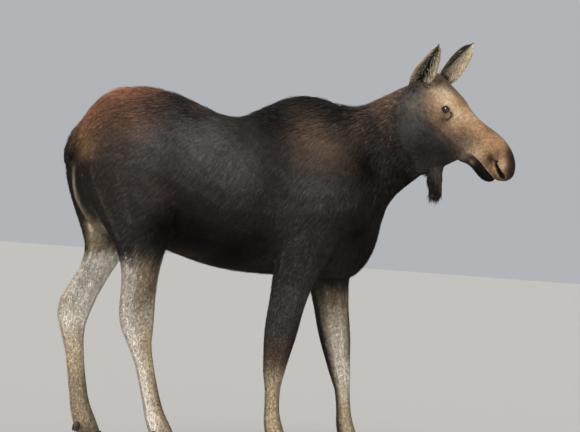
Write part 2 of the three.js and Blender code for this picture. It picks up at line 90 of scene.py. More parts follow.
def on_head(points):
    """Head's frame to straight body."""
    x, y, z = rows(points).T
    s, c = math.sin(PITCH), math.cos(PITCH)
    return np.stack([x * c + z * s, y, z * c - x * s], 1) + POLL


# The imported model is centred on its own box, so its places are the turned body's, moved by this.
low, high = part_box("eye_left")
shift = np.array((low + high) / 2) - carried(on_head(EYE))[0]


def straightened(points):
    """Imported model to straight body, and how far each point is turned."""
    x, y, z = (rows(points) - shift).T
    x, y = x - TURN_START, y + TURN_RADIUS
    rise = TURN_LEAN * (z - TURN_HEIGHT)
    reach = np.sqrt(np.maximum(x * x + y * y - rise * rise, 1e-9))
    angle = np.clip(np.arctan2(x, y) + np.arctan2(rise, reach), 0, TURN)
    s, c = np.sin(angle), np.cos(angle)
    straight_x = x * c - y * s + TURN_START + TURN_RADIUS * angle
    return np.stack([straight_x, x * s + y * c - TURN_RADIUS, z], 1), angle


def turned(directions, angle):
    """Turns directions of the straight body as the neck is turned there."""
    x, y, z = rows(directions).T
    s, c = np.sin(angle), np.cos(angle)
    return np.stack([x * c + y * s, y * c - x * s, z], 1)


def to_head(points):
    """Straight body to the head's frame."""
    x, y, z = (rows(points) - POLL).T
    s, c = math.sin(PITCH), math.cos(PITCH)
    return np.stack([x * c - z * s, y, x * s + z * c], 1)


def from_head(directions):
    """Directions in the head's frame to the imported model's."""
    x, y, z = rows(directions).T
    s, c = math.sin(PITCH), math.cos(PITCH)
    return turned(np.stack([x * c + z * s, y, z * c - x * s], 1), TURN)


def ramp(value, low, high):
    """0 below low, 1 above high, smooth between; low may be the larger."""
    share = np.clip((value - low) / (high - low), 0, 1)
    return share * share * (3 - 2 * share)


def peak(value, middle, reach):
    """1 at the middle, fading to either side to almost 0 at twice the reach."""
    return np.exp(-(((value - middle) / reach) ** 2))


def near(points, at, reach):
    """How near the points are to a place on either side of the body, from 0 to 1."""
    x, y, z = points.T
    gap = np.stack([x, np.abs(y), z], 1) - at
    return peak(np.linalg.norm(gap, axis=1), 0, reach)


def unit(vectors):
    """Vectors at a length of 1."""
    return vectors / np.maximum(np.linalg.norm(vectors, axis=1, keepdims=True), 1e-9)


def read(items, field, width=3, kind=float):
    """The field of each of a mesh's vertices, edges or faces, one in each row."""
    found = np.empty(len(items) * width, kind)
    items.foreach_get(field, found)
    return found.reshape(-1, width)


def put(mesh, points):
    """Moves a mesh's vertices to these points."""
    mesh.vertices.foreach_set("co", np.ascontiguousarray(points, float).ravel())
    mesh.update()


def relaxed(values, edges, rounds, pull=0.5):
    """Eases values towards their neighbours' mean over the mesh; pull may be per vertex."""
    a, b = edges
    count = len(values)
    flat = values.reshape(count, -1).copy()
    share = np.broadcast_to(pull, (count,))[:, None]
    links = np.bincount(a, minlength=count) + np.bincount(b, minlength=count)
    for _ in range(rounds):
        mean = [
            np.bincount(a, column[b], count) + np.bincount(b, column[a], count)
            for column in flat.T
        ]
        flat += share * (np.stack(mean, 1) / links[:, None] - flat)
    return flat.reshape(values.shape)


def finished(modified):
    """The object's mesh with its modifiers applied."""
    graph = bpy.context.evaluated_depsgraph_get()
    mesh = bpy.data.meshes.new_from_object(modified.evaluated_get(graph))
    modified.modifiers.clear()
    modified.data = mesh
    return mesh


cast = bmesh.new()
for name in (*FLESH, *EYES):
    cast.from_mesh(nodes[name].data)
bmesh.ops.remove_doubles(cast, verts=cast.verts, dist=1e-5)
hide = bpy.data.objects.new("hide", bpy.data.meshes.new("hide"))
collection.objects.link(hide)
cast.to_mesh(hide.data)
cast.free()
voxels = hide.modifiers.new("cast", "REMESH")
voxels.mode = "VOXEL"
voxels.voxel_size = CAST_GRAIN
mesh = finished(hide)

# The cast's facets are eased away without shrinking it, least where it is thin.
points = read(mesh.vertices, "co")
edges = read(mesh.edges, "vertices", 2, int).T
straight = straightened(points)[0]
in_head = to_head(straight)
bulk = ramp(straight[:, 2], 0.75, 1.05) * ramp(in_head[:, 0], 0.02, -0.12)
bulk *= ramp(straight[:, 0], -0.70, -0.62)
for _ in range(45):
    points = relaxed(points, edges, 1, 0.25 + 0.3 * bulk)
    points = relaxed(points, edges, 1, -0.26 - 0.315 * bulk)
put(mesh, points)

# The trunk and the legs need fewer faces than the cast has, whose squares count as two each.
thin = hide.modifiers.new("thin", "DECIMATE")
thin.ratio = HIDE_FACES / (2 * len(mesh.polygons))
mesh = finished(hide)

# Finer faces where the lids, the nostrils, the lips and the folds are worked.
FINE = [  # a place, how far round it, and the longest edge there
    (EYE, 0.031, 0.0012),
    ((0.210, 0.09, -0.088), 0.056, 0.0032),
    ((0.555, 0.05, -0.100), 0.055, 0.0026),
    ((0.590, 0.02, -0.120), 0.045, 0.0026),
    ((0.480, 0.05, -0.150), 0.080, 0.0036),
]
fine = bmesh.new()
fine.from_mesh(mesh)
for _ in range(4):
    fine.verts.ensure_lookup_table()
    x, y, z = to_head(straightened([v.co for v in fine.verts])[0]).T
    grain = np.ones(len(x))
    for at, reach, size in FINE:
        gap = np.linalg.norm(np.stack([x, np.abs(y), z], 1) - at, axis=1)
        grain = np.where(gap < reach, np.minimum(grain, size), grain)
    ends = [(e, e.verts[0].index, e.verts[1].index) for e in fine.edges]
    picked = [e for e, a, b in ends if e.calc_length() > max(grain[a], grain[b])]
    bmesh.ops.subdivide_edges(fine, edges=picked, cuts=1, use_grid_fill=True)
    bmesh.ops.triangulate(fine, faces=[f for f in fine.faces if len(f.verts) > 3])
    fine.verts.index_update()
fine.to_mesh(mesh)
fine.free()
points = read(mesh.vertices, "co")
edges = read(mesh.edges, "vertices", 2, int).T
in_head = to_head(straightened(points)[0])

# The finer faces are eased in turn.
eased = np.zeros(len(points))
for at, reach, _ in FINE:
    eased = np.maximum(eased, ramp(near(in_head, at, reach), 0.2, 0.4))
for _ in range(8):
    points = relaxed(points, edges, 1, 0.5 * eased)
    points = relaxed(points, edges, 1, -0.52 * eased)
put(mesh, points)

# Which piece of the body each vertex lies on.
corners, faces, owners = [], [], []
for index, name in enumerate(FLESH):
    solid = nodes[name].data
    start = len(corners)
    corners += [vertex.co.copy() for vertex in solid.vertices]
    faces += [[start + i for i in face.vertices] for face in solid.polygons]
    owners += [index] * len(solid.polygons)
flesh_tree = BVHTree.FromPolygons(corners, faces)
points = read(mesh.vertices, "co")
owner = np.array([owners[flesh_tree.find_nearest(point)[2]] for point in points])
straight = straightened(points)[0]
in_head = to_head(straight)


def on(*endings):
    """True on the pieces whose names end so."""
    return np.isin(owner, [i for i, name in enumerate(FLESH) if name.endswith(endings)])


# How deep the coat is over the skin, how long its hairs are and how broad its locks, in mm.
COAT = {
    ("trunk",): (8, 46, 3.0),
    ("neck",): (9, 54, 3.8),
    ("head", "jaw"): (2.2, 13, 1.9),
    ("bell",): (8, 66, 3.4),
    ("tail",): (6, 52, 3.4),
    ("ear_left", "ear_right"): (0.8, 11, 1.8),
    ("upper_leg",): (6, 32, 3.0),
    ("cannon",): (2.5, 16, 2.4),
    ("foot",): (2.5, 20, 2.6),
}
# Places with more: the place, its reach, and what is added to the depth and the length.
SHAGGY = [
    ((-0.60, 0, 1.60), 0.16, 4, 22),
    ((-0.43, 0, 1.70), 0.20, 5, 26),
    ((-0.22, 0, 1.67), 0.16, 4, 20),
    ((0.36, 0, 1.73), 0.22, 6, 30),
    ((0.60, 0, 1.70), 0.16, 4, 22),
    ((0.85, 0, 1.82), 0.14, 3, 12),
    ((0.60, 0, 0.92), 0.16, 4, 18),
    ((0.90, 0, 1.38), 0.12, 3, 18),
    ((0.15, 0, 0.88), 0.22, 3, 14),
    ((-0.30, 0.05, 0.97), 0.14, 3, 14),
]
measures = np.zeros((len(points), 3))
for endings, values in COAT.items():
    measures[on(*endings)] = values
# The upper legs' coat shortens from the trunk's at the top to the shanks' at the hocks and knees.
thigh = (on("upper_leg") * ramp(straight[:, 2], 0.85, 1.15))[:, None]
measures += thigh * (np.array(COAT[("trunk",)]) - measures)
shank = (on("upper_leg") * ramp(straight[:, 2], 0.92, 0.60))[:, None]
measures += shank * (np.array(COAT[("cannon",)]) - measures)
for at, reach, deeper, longer in SHAGGY:
    share = near(straight, at, reach) * (on("trunk", "neck") * 1.0)
    measures[:, 0] += deeper * share
    measures[:, 1] += longer * share
# And shorter, finer hair round the eyes, the nostrils and the lips.
SPARSE = ((EYE, 0.045, 0.6), ((0.57, 0.04, -0.10), 0.060, 0.6), ((0.50, 0.05, -0.14), 0.050, 0.5))
for at, reach, share in SPARSE:
    measures[:, 1:] *= 1 - share * near(in_head, at, reach)[:, None]
# A tuft between the ears.
measures += np.outer(near(in_head, (0.050, 0.015, 0.0), 0.050) * on("head"), (3, 16, 0.6))
measures = relaxed(measures, edges, 25) / 1000
depth = measures[:, 0]

# The skin sinks below the solids by that depth, but not away from the claws.
outward = unit(relaxed(read(mesh.vertex_normals, "vector"), edges, 3))
sole = on("foot") * ramp(straight[:, 2], 0.13, 0.09) * ramp(outward[:, 2], -0.1, -0.6)
points = points - outward * (depth * (1 - sole) * (1 - 0.9 * on("ear_left", "ear_right")))[:, None]
points[:, 2] += 0.45 * on("bell") * np.maximum(1.38 - points[:, 2], 0)

# The face, worked in the head's frame with both sides alike.
straight, turning = straightened(points)
in_head = to_head(straight)
x, y, z = in_head.T
y = np.abs(y)
on_face = on("head", "jaw")


def line_gap(x, z, line):
    """How far places in profile are from a line, and how far along it the nearest point is."""
    best, share = np.full(len(x), 9.0), np.zeros(len(x))
    for index, ((ax, az), (bx, bz)) in enumerate(zip(line, line[1:])):
        t = ((x - ax) * (bx - ax) + (z - az) * (bz - az)) / ((bx - ax) ** 2 + (bz - az) ** 2)
        t = np.clip(t, 0, 1)
        gap = np.hypot(x - ax - t * (bx - ax), z - az - t * (bz - az))
        share = np.where(gap < best, (index + t) / (len(line) - 1), share)
        best = np.minimum(best, gap)
    return best, share


NOSTRIL = [(0.536, -0.072), (0.530, -0.080), (0.546, -0.090), (0.571, -0.099), (0.597, -0.109)]
MOUTH = [(0.398, -0.152), (0.409, -0.146), (0.472, -0.141), (0.540, -0.146), (0.578, -0.154)]
rise = np.zeros(len(points))
gap, share = line_gap(x, z, NOSTRIL)
beside = on_face * ramp(y, 0.012, 0.024)
rise -= beside * 0.016 * peak(gap, 0, 0.0040 + 0.0085 * share)
rise += beside * 0.0035 * peak(gap, 0.012, 0.006)
gap, share = line_gap(x, z, MOUTH)
rise -= on_face * 0.011 * ramp(share, 0.1, 0.5) * peak(gap, 0, 0.0038)
rise += on_face * 0.003 * peak(gap, 0.009, 0.005) * (z > -0.150)

# The eye looks out and a little forward. Round it places are measured over the ball: across it,
# towards the nose, and up it. The lids lie close on the ball, with a crease over the upper one and
# a fainter one under the lower.
OPENING = (0.0190, 0.0122, 0.0106)  # half its length, and its height over and under the middle
LID = 0.0024
gaze = unit(rows((0.20, 1, 0.10)))[0]
forward = np.array([math.cos(math.radians(28)), 0, math.sin(math.radians(28))])
forward = unit(rows(forward - gaze * (forward @ gaze)))[0]
upper = np.cross(forward, gaze)
from_ball = np.stack([x, y, z], 1) - EYE
round_ball = np.linalg.norm(from_ball, axis=1)
turn = np.arctan2(from_ball @ forward, from_ball @ gaze)
across = EYE_RADIUS * turn
height = EYE_RADIUS * np.arcsin(np.clip(from_ball @ upper / round_ball, -1, 1))
bow = 1 - (across / OPENING[0]) ** 2
inside = np.minimum(OPENING[1] * bow - height, OPENING[2] * bow + height)
by_eye = on_face & (round_ball < 0.045) & (from_ball @ gaze > 0)
inside = np.where(by_eye, inside, -1)
rim = by_eye & (np.abs(inside) < 0.0007)
height = np.where(rim, np.where(height > 0, OPENING[1], -OPENING[2]) * np.maximum(bow, 0), height)
shell = EYE_RADIUS + LID
level = (round_ball + shell + np.sqrt((round_ball - shell) ** 2 + 0.0015**2)) / 2
level -= LID * 0.5 * ramp(inside, -0.0024, -0.0002)
level = np.where(rim, EYE_RADIUS + LID * 0.3, np.where(inside > 0, EYE_RADIUS - 0.005, level))
level -= 0.0026 * peak(inside, -0.0085, 0.0022) * ramp(height, 0.002, 0.008)
level -= 0.0014 * peak(inside, -0.0075, 0.0018) * ramp(height, -0.002, -0.006)
lean = height / EYE_RADIUS
lidded = EYE + level[:, None] * (
    (np.cos(lean) * np.cos(turn))[:, None] * gaze
    + (np.cos(lean) * np.sin(turn))[:, None] * forward
    + np.sin(lean)[:, None] * upper
)

# The fold that runs forward from the eye's front corner and curls down under it; its groove is darkened with
# painted shade.
FOLD = [(0.210, -0.069), (0.222, -0.067), (0.229, -0.076), (0.231, -0.090), (0.228, -0.104), (0.219, -0.116)]
fold, share = line_gap(x, z, FOLD)
beside = on_face * (y > 0.05) * ramp(share, 0.0, 0.05) * ramp(share, 1.0, 0.85)
fold_shade = beside * (0.55 * peak(fold, 0, 0.0055) + 0.40 * peak(fold, 0, 0.013))
rise -= beside * 0.0034 * peak(fold, 0, 0.0028)
rise += beside * 0.0018 * peak(fold, 0.008, 0.0045)

moved = in_head.copy()
moved[by_eye] = (lidded * np.stack([1 + 0 * x, np.sign(in_head[:, 1]), 1 + 0 * x], 1))[by_eye]
points = carried(on_head(moved)) * on_face[:, None] + (points - shift) * ~on_face[:, None] + shift
points = points + outward * rise[:, None]
put(mesh, points)

# Which way the hair lies, in profile: the place on the body and the angle down from straight back.
LIE = [
    ((-0.45, 1.70), 16),
    ((-0.63, 1.56), 38),
    ((-0.70, 1.30), 66),
    ((-0.52, 1.35), 34),
    ((-0.42, 1.10), 52),
    ((-0.15, 1.62), 22),
    ((-0.15, 1.38), 58),
    ((-0.10, 1.05), 48),
    ((0.15, 1.42), 60),
    ((0.18, 1.10), 52),
    ((0.36, 1.70), 14),
    ((0.44, 1.52), 42),
    ((0.50, 1.30), 58),
    ((0.62, 1.38), 84),
    ((0.42, 1.06), 56),
    ((0.64, 1.15), 86),
    ((0.76, 1.48), 66),
    ((0.62, 1.66), 26),
    ((0.84, 1.76), 30),
    ((0.92, 1.55), 62),
    ((0.90, 1.40), 78),
]
LIE_REACH = 0.14  # how far round a place its angle holds
apart = [(straight[:, 0] - at[0]) ** 2 + (straight[:, 2] - at[1]) ** 2 for at, _ in LIE]
weights = np.stack([np.exp(-gap / LIE_REACH**2) + 1e-6 / (0.01 + gap) for gap in apart], 1)
angles = weights @ np.radians([angle for _, angle in LIE]) / weights.sum(1)
lie = np.stack([-np.cos(angles), 0 * angles, -np.sin(angles)], 1)
# On the legs, the tail and the bell it lies downwards.
limb = on("upper_leg") * ramp(straight[:, 2], 1.02, 0.82) + on("cannon", "foot", "tail", "bell")
lie += limb[:, None] * (np.array([-0.15, 0, -1.0]) - lie)
lie = turned(lie, turning)

# On the head it runs from the nose back to the crown and down the cheeks, and parts round the eyes.
x, y, z = in_head.T
side = np.sign(y)
y = np.abs(y)
flow = np.stack([-np.ones(len(x)), side * 0.15, -0.25 * ramp(z, -0.02, -0.12)], 1)
flow[:, 2] += 0.6 * ramp(x, 0.52, 0.60)
flow[:, 1] += side * 0.5 * ramp(x, 0.54, 0.61)
away = peak(np.hypot(x - EYE[0], z - EYE[2]), 0, 0.05) * (y > 0.04)
flow[:, 0] += away * 18 * (x - EYE[0])
flow[:, 2] += away * 26 * (z - EYE[2])
EARS = {  # root, tip, the way it opens at its root and at its tip, and how far its middle bows
    "ear_left": (
        (0.028, 0.066, -0.062), (0.000, 0.122, 0.194), (0.85, -0.36, 0.10), (0.7, -0.7, 0.1), -0.006,
    ),
    "ear_right": (
        (0.014, -0.084, -0.098), (-0.026, -0.172, 0.140), (0.40, -0.85, 0.0), (1.0, -0.12, -0.2), -0.014,
    ),
}
EAR_HALF = (0.036, 0.048, 0.056, 0.057, 0.054, 0.046, 0.033, 0.012)  # half its width, root to tip
lie = np.where(on_face[:, None], from_head(flow), lie)
cup = np.zeros(len(x))  # how far each part of an ear faces into its cup, from -1 to 1
up_ear = np.zeros(len(x))  # how far up its ear a place is, from 0 to 1
ear_side = np.zeros(len(x))  # from one edge of the ear, -1, to the other, 1
ear_inward = np.zeros((len(x), 3))  # the way from the ear's edge to its middle
into_head = np.stack([from_head(axis)[0] for axis in np.eye(3)])
for name, (root, tip, opening, tip_opening, bow) in EARS.items():
    root, tip = np.array(root), np.array(tip)
    length = np.linalg.norm(tip - root)
    axis = (tip - root) / length
    share = np.clip((in_head - root) @ axis / length, 0, 1)
    faces_out = unit(np.array(opening) * (1 - share)[:, None] + np.array(tip_opening) * share[:, None])
    here = on(name)
    off_axis = in_head - root - share[:, None] * length * axis
    close = here | (on("head") & (share > 0.08) & (np.linalg.norm(off_axis, axis=1) < 0.065))
    up_ear = np.where(close, share, up_ear)
    cup = np.where(close, ((outward @ into_head.T) * faces_out).sum(1), cup)
    faces_out = unit(faces_out - (faces_out @ axis)[:, None] * axis)
    aside = ((in_head - root) * np.cross(axis, faces_out)).sum(1) - bow * np.sin(np.pi * share)
    half = np.interp(share, np.linspace(0, 1, len(EAR_HALF)), EAR_HALF)
    ear_side = np.where(close, aside / half, ear_side)
    to_middle = from_head(-np.sign(aside)[:, None] * np.cross(axis, faces_out))
    ear_inward = np.where(close[:, None], to_middle, ear_inward)
    lie = np.where(close[:, None], from_head(axis), lie)
    # The ear's tip is drawn in towards a point.
    points -= from_head(off_axis) * (here * 0.7 * ramp(share, 0.86, 1.0))[:, None]

put(mesh, points)
lie = unit(relaxed(unit(lie), edges, 12))

# The markings: the colours of the hair, and where each lies; later ones cover earlier ones. All is charcoal
# where nothing else is said. Some are painted light: sheen, shade and sunlight, as said where each is laid.
CHARCOAL = "#33302e"
COLOURS = {
    # Slate is painted sheen on the body and grey hair on the face; soot is black hair and in places painted
    # shade; cream is pale hair and in places painted sunlight.
    "slate": "#666565",
    "brown": "#6f5a4c",
    "rust": "#93664e",
    "tan": "#a98460",
    "fawn": "#c8b497",
    "cream": "#f2ebe0",
    "soot": "#070606",
}
marks = {colour: np.zeros(len(points)) for colour in COLOURS}


def mark(colour, strength):
    """Lays a colour over what is there, from 0, none, to 1, all."""
    marks[colour] = np.maximum(marks[colour], np.clip(strength, 0, 1))


# Soft spots of each colour: where each is, how far it reaches, and its strength.
BODY_MARKS = {
    # Slate on the flank, the loin, the haunch, the thigh, the shoulder and the arm is painted sheen: the
    # grey of light reflected off the hair.
    "slate": [
        (-0.14, 0.22, 1.46, 0.15, 1.0), (0.02, 0.24, 1.38, 0.13, 0.8), (-0.38, 0.20, 1.44, 0.12, 0.8),
        (-0.54, 0.20, 1.43, 0.10, 0.35), (-0.43, 0.22, 1.13, 0.13, 0.4), (-0.44, 0.22, 1.00, 0.11, 0.4),
        (0.39, 0.20, 1.30, 0.14, 0.55), (0.30, 0.24, 1.10, 0.14, 0.40), (0.33, 0.20, 0.80, 0.18, 0.70),
        (0.47, 0.16, 1.51, 0.080, 0.50),
    ],
    "rust": [
        (-0.62, 0.04, 1.57, 0.12, 0.9), (-0.48, 0.02, 1.68, 0.14, 1.0), (-0.32, 0.02, 1.69, 0.09, 0.5),
        (-0.45, 0.15, 1.54, 0.10, 0.5),
    ],
    "brown": [
        (-0.12, 0.02, 1.64, 0.12, 0.4), (-0.60, 0.12, 1.47, 0.12, 0.5), (0.42, 0.17, 1.54, 0.13, 1.0),
        (0.55, 0.15, 1.48, 0.09, 0.6), (0.30, 0.15, 1.56, 0.10, 0.15), (0.64, 0.09, 1.60, 0.10, 0.5),
        (0.82, 0.06, 1.77, 0.13, 1.0), (0.79, 0.10, 1.62, 0.10, 0.5), (-0.31, 0.24, 1.24, 0.08, 0.4),
        (-0.56, 0.18, 1.22, 0.16, 0.25), (0.27, 0.23, 1.00, 0.09, 0.25), (0.59, 0.12, 0.96, 0.10, 0.3),
    ],
    "tan": [
        (-0.660, 0.12, 1.43, 0.060, 0.95), (-0.66, 0.09, 1.49, 0.05, 0.45), (-0.13, 0.12, 0.91, 0.07, 0.5),
        (0.48, 0.16, 1.52, 0.060, 0.15),
    ],
    # Soot along the back's top line is partly painted shade that dims the top where the light from above
    # falls most; soot on the belly, the chest, the throat and low on the flank is dark hair made darker
    # still by painted shade under the body.
    "soot": [
        (-0.19, 0.06, 1.64, 0.10, 0.80), (-0.02, 0.05, 1.66, 0.09, 0.35), (0.24, 0.10, 1.60, 0.09, 0.75),
        (0.22, 0.06, 1.67, 0.12, 0.70), (0.40, 0.04, 1.74, 0.12, 0.65), (0.56, 0.05, 1.67, 0.10, 0.75),
        (-0.28, 0.22, 1.08, 0.13, 1.0), (-0.12, 0.20, 0.99, 0.15, 1.0), (0.06, 0.18, 0.96, 0.16, 1.0),
        (0.17, 0.18, 1.05, 0.13, 0.9), (0.30, 0.00, 0.90, 0.20, 0.9), (0.64, 0.15, 1.12, 0.08, 0.8),
        (0.66, 0.05, 1.02, 0.14, 0.7), (0.92, 0.05, 1.42, 0.15, 0.80), (0.86, 0.10, 1.54, 0.12, 0.7),
        (0.67, 0.14, 1.44, 0.11, 0.85), (0.74, 0.08, 1.58, 0.09, 0.70), (0.78, 0.05, 1.30, 0.15, 0.6),
        (-0.36, 0.22, 1.00, 0.09, 0.5),
    ],
}
body = on("trunk", "neck", "upper_leg")
for colour, spots in BODY_MARKS.items():
    for *at, reach, strength in spots:
        mark(colour, strength * near(straight, at, reach) * body)

# The pale stripe under the tail widens down to the inner sides of the thighs.
x, y, z = straight.T
stripe = 0.018 + 0.09 * ramp(z, 1.26, 0.96)
buttock = ramp(np.abs(y), stripe + 0.014, stripe) * ramp(z, 1.35, 1.31) * ramp(x, -0.46, -0.56)
mark("cream", 0.9 * buttock * ramp(z, 1.14, 1.26) * on("trunk", "upper_leg"))
mark("fawn", 0.8 * buttock * on("trunk", "upper_leg"))

# The middle line of each leg in profile, and how far out it stands.
LEG_LINES = {
    "fore_left": (
        (0.500, 1.310), (0.582, 0.851), (0.651, 0.507), (0.689, 0.345), (0.712, 0.191), (0.754, 0.068),
    ),
    "fore_right": (
        (0.485, 1.310), (0.345, 0.851), (0.295, 0.507), (0.289, 0.345), (0.302, 0.191), (0.345, 0.068),
    ),
    "hind_left": (
        (-0.500, 1.425), (-0.466, 1.010), (-0.618, 0.660), (-0.604, 0.440), (-0.556, 0.185), (-0.504, 0.070),
    ),
    "hind_right": (
        (-0.500, 1.425), (-0.388, 1.004), (-0.380, 0.624), (-0.327, 0.420), (-0.256, 0.184), (-0.197, 0.070),
    ),
}
LEG_HEIGHTS = (0.07, 0.2, 0.35, 0.5, 0.66, 0.85, 1.05)
LEG_DEPTHS = (0.045, 0.040, 0.036, 0.060, 0.085, 0.095, 0.14)  # half its depth, front to back, there
OUTWARD = {"fore": 0.137, "hind": 0.147}
# The lower legs are fawn, palest on their inner and rear sides, with brown and soot above and in front, and
# a hind leg has a rusty patch at the hock. The cream inside the knees and the gaskins is pale hair and
# partly painted sunlight.
for leg, line in LEG_LINES.items():
    hers = on(f"{leg}_upper_leg", f"{leg}_cannon", f"{leg}_foot") * 1.0
    middle_x, middle_z = np.array(line[::-1]).T
    fore = leg.startswith("fore")
    ahead = (x - np.interp(z, middle_z, middle_x)) / np.interp(z, LEG_HEIGHTS, LEG_DEPTHS)
    outer = ramp(np.abs(y) - OUTWARD[leg[:4]], -0.02, 0.03)
    inner = 1 - outer
    if fore:
        mark("fawn", hers * 0.9 * outer * ramp(z, 0.47, 0.38))
        mark("fawn", hers * inner * ramp(z, 0.90, 0.70) * ramp(ahead, -0.9, -0.3))
        knee = ramp(z, 0.78, 0.62) * ramp(z, 0.26, 0.38)
        # Cream inside the knee: pale hair, partly painted sunlight.
        mark("cream", hers * 0.6 * inner * knee * ramp(ahead, -0.8, -0.2))
        mark("brown", hers * 0.6 * outer * ramp(z, 0.66, 0.48))
        mark("soot", hers * 0.75 * ramp(ahead, 0.45, 0.8) * ramp(z, 0.44, 0.54) * ramp(z, 0.82, 0.70))
        mark("soot", hers * 0.6 * inner * ramp(ahead, -0.5, -0.9) * ramp(z, 0.42, 0.52))
    else:
        mark("brown", hers * 0.8 * outer * ramp(z, 1.00, 0.84))
        mark("fawn", hers * 0.95 * outer * ramp(z, 0.80, 0.68))
        mark("fawn", hers * 0.70 * outer * ramp(z, 1.00, 0.84) * ramp(ahead, 1.0, 0.1))
        mark("fawn", hers * 0.95 * inner * ramp(z, 1.16, 1.02))
        mark("fawn", hers * 0.95 * ramp(ahead, -0.10, -0.55) * ramp(z, 1.04, 0.92))
        # Cream inside the gaskin: pale hair, partly painted sunlight.
        mark("cream", hers * inner * ramp(ahead, -1.2, -0.6) * ramp(z, 1.10, 0.98) * ramp(z, 0.48, 0.60))
        below_hock = ramp(z, 0.66, 0.58) * ramp(z, 0.36, 0.46)
        mark("cream", hers * (0.10 + 0.20 * outer) * below_hock * ramp(ahead, 0.6, 0.0))
        mark("cream", hers * 0.85 * outer * ramp(ahead, 0.00, -0.50) * ramp(z, 1.00, 0.88))
        mark("cream", hers * 0.50 * outer * ramp(z, 0.78, 0.68) * ramp(z, 0.56, 0.64))
        mark("brown", hers * (0.75 - 0.3 * outer) * ramp(z, 0.50, 0.28))
        marks["fawn"] *= 1 - 0.45 * hers * inner * ramp(z, 0.46, 0.30)
        # Patches round the hock: rust inside it, soot just above it on the outside and higher on
        # the inside, and tan below it.
        hock, top = line[2]
        patch = peak(np.hypot((x - hock + 0.038) / 0.034, (z - top - 0.027) / 0.017), 0, 1) * inner
        mark("rust", hers * 0.9 * patch)
        marks["fawn"] *= 1 - 0.85 * hers * patch
        marks["cream"] *= 1 - 0.9 * hers * patch
        patch = peak(np.hypot((x - hock - 0.012) / 0.042, (z - top - 0.085) / 0.045), 0, 1)
        mark("soot", hers * 0.35 * outer * patch)
        marks["cream"] *= 1 - 0.9 * hers * outer * patch
        marks["fawn"] *= 1 - 0.4 * hers * outer * patch
        patch = peak(np.hypot((ahead + 0.45) / 0.20, (z - top - 0.15) / 0.09), 0, 1)
        mark("soot", hers * 0.45 * inner * patch)
        patch = peak(np.hypot((ahead - 0.1) / 0.6, (z - top + 0.11) / 0.05), 0, 1)
        mark("tan", hers * 0.6 * patch)
        marks["fawn"] *= 1 - 0.5 * hers * patch
        marks["cream"] *= 1 - 0.7 * hers * patch
    mark("soot", hers * 0.6 * ramp(z, 0.15, 0.08))
    mark("soot", hers * 0.45 * ramp(ahead, 0.0, 0.8) * ramp(z, 0.42, 0.30))

# The face is pale on the forehead and the brow, tan down the bridge of the nose, and darkens over the cheeks
# to a charcoal jaw, a dark nose and a black chin; the nose's front and the chin under the upper lip are
# darkened partly by painted shade.
x, y, z = in_head.T
y = np.abs(y)
face = on_face * 1.0
on_jaw = on("jaw") * 1.0
mark("slate", face * 0.45 * ramp(z, -0.25, -0.12) * ramp(x, 0.28, 0.13))
mark("brown", face * 0.95 * ramp(z, -0.22, -0.12) * ramp(x, 0.06, 0.24))
mark("brown", face * 0.8 * ramp(x, 0.33, 0.42))
mark("tan", face * 0.85 * ramp(z, -0.115, -0.035) * ramp(x, 0.10, 0.20) * ramp(x, 0.62, 0.40))
mark("tan", face * 0.80 * ramp(x, 0.36, 0.46) * ramp(z, -0.16, -0.10))
# Of these, the soot beside the nostril at (0.505, 0.06, -0.086) is painted shade, the soot over the front of
# the nose is partly painted shade, and the fawn over the nostril at (0.564, 0.045, -0.076) is partly painted
# light.
FACE_MARKS = {
    "fawn": [
        (0.132, 0.07, -0.032, 0.044, 0.95), (0.165, 0.09, -0.050, 0.036, 0.82),
        (0.135, 0.00, 0.000, 0.050, 0.6), (0.235, 0.08, -0.055, 0.040, 0.65),
        (0.060, 0.08, -0.175, 0.028, 0.25), (0.564, 0.045, -0.076, 0.024, 0.65),
        (0.440, 0.060, -0.115, 0.035, 0.45), (0.285, 0.03, -0.010, 0.045, 0.40),
        (0.400, 0.060, -0.115, 0.035, 0.25),
    ],
    "tan": [
        (0.140, 0.08, -0.070, 0.060, 0.85), (0.260, 0.08, -0.085, 0.045, 0.7),
        (0.180, 0.10, -0.125, 0.030, 0.5), (0.070, 0.03, -0.010, 0.040, 0.5),
    ],
    "brown": [
        (0.040, 0.04, -0.040, 0.070, 1.0),
    ],
    "soot": [
        (0.340, 0.03, -0.040, 0.030, 0.18), (0.395, 0.02, -0.005, 0.040, 0.38),
        (0.385, 0.04, -0.075, 0.035, 0.25), (0.360, 0.06, -0.125, 0.045, 0.20),
        (0.505, 0.06, -0.086, 0.034, 0.95), (0.518, 0.055, -0.052, 0.036, 0.65),
        (0.207, 0.09, -0.098, 0.020, 0.35), (0.216, 0.085, -0.113, 0.017, 0.65),
        (0.530, 0.045, -0.030, 0.035, 0.45), (0.550, 0.040, 0.000, 0.044, 0.80),
        (0.590, 0.042, -0.026, 0.044, 0.92), (0.612, 0.032, -0.066, 0.043, 0.92),
        (0.616, 0.015, -0.100, 0.036, 0.80), (0.572, 0.045, -0.125, 0.018, 0.40),
        (0.310, 0.06, -0.235, 0.070, 0.75), (0.200, 0.08, -0.205, 0.050, 0.45),
        (0.130, 0.08, -0.225, 0.060, 0.15), (0.230, 0.05, -0.290, 0.080, 0.75),
    ],
    "slate": [
        (0.135, 0.08, -0.215, 0.060, 0.30),
    ],
}
for colour, spots in FACE_MARKS.items():
    for *at, reach, strength in spots:
        mark(colour, face * strength * near(in_head, at, reach))
# The middle of the forehead is greyer.
forehead = face * ramp(y, 0.060, 0.030) * ramp(x, 0.25, 0.19)
marks["fawn"] *= 1 - 0.6 * forehead
mark("slate", 0.8 * forehead)
mark("soot", 0.35 * forehead * ramp(x, 0.0, 0.05))
# The front of the nose is dark all over, partly as painted shade, but for a pale patch over the nostril,
# partly painted light.
mark("soot", face * 0.92 * ramp(x + z, 0.475, 0.535) * ramp(z, -0.14, -0.09))
marks["soot"] *= 1 - 0.9 * face * near(in_head, (0.560, 0.060, -0.062), 0.024)
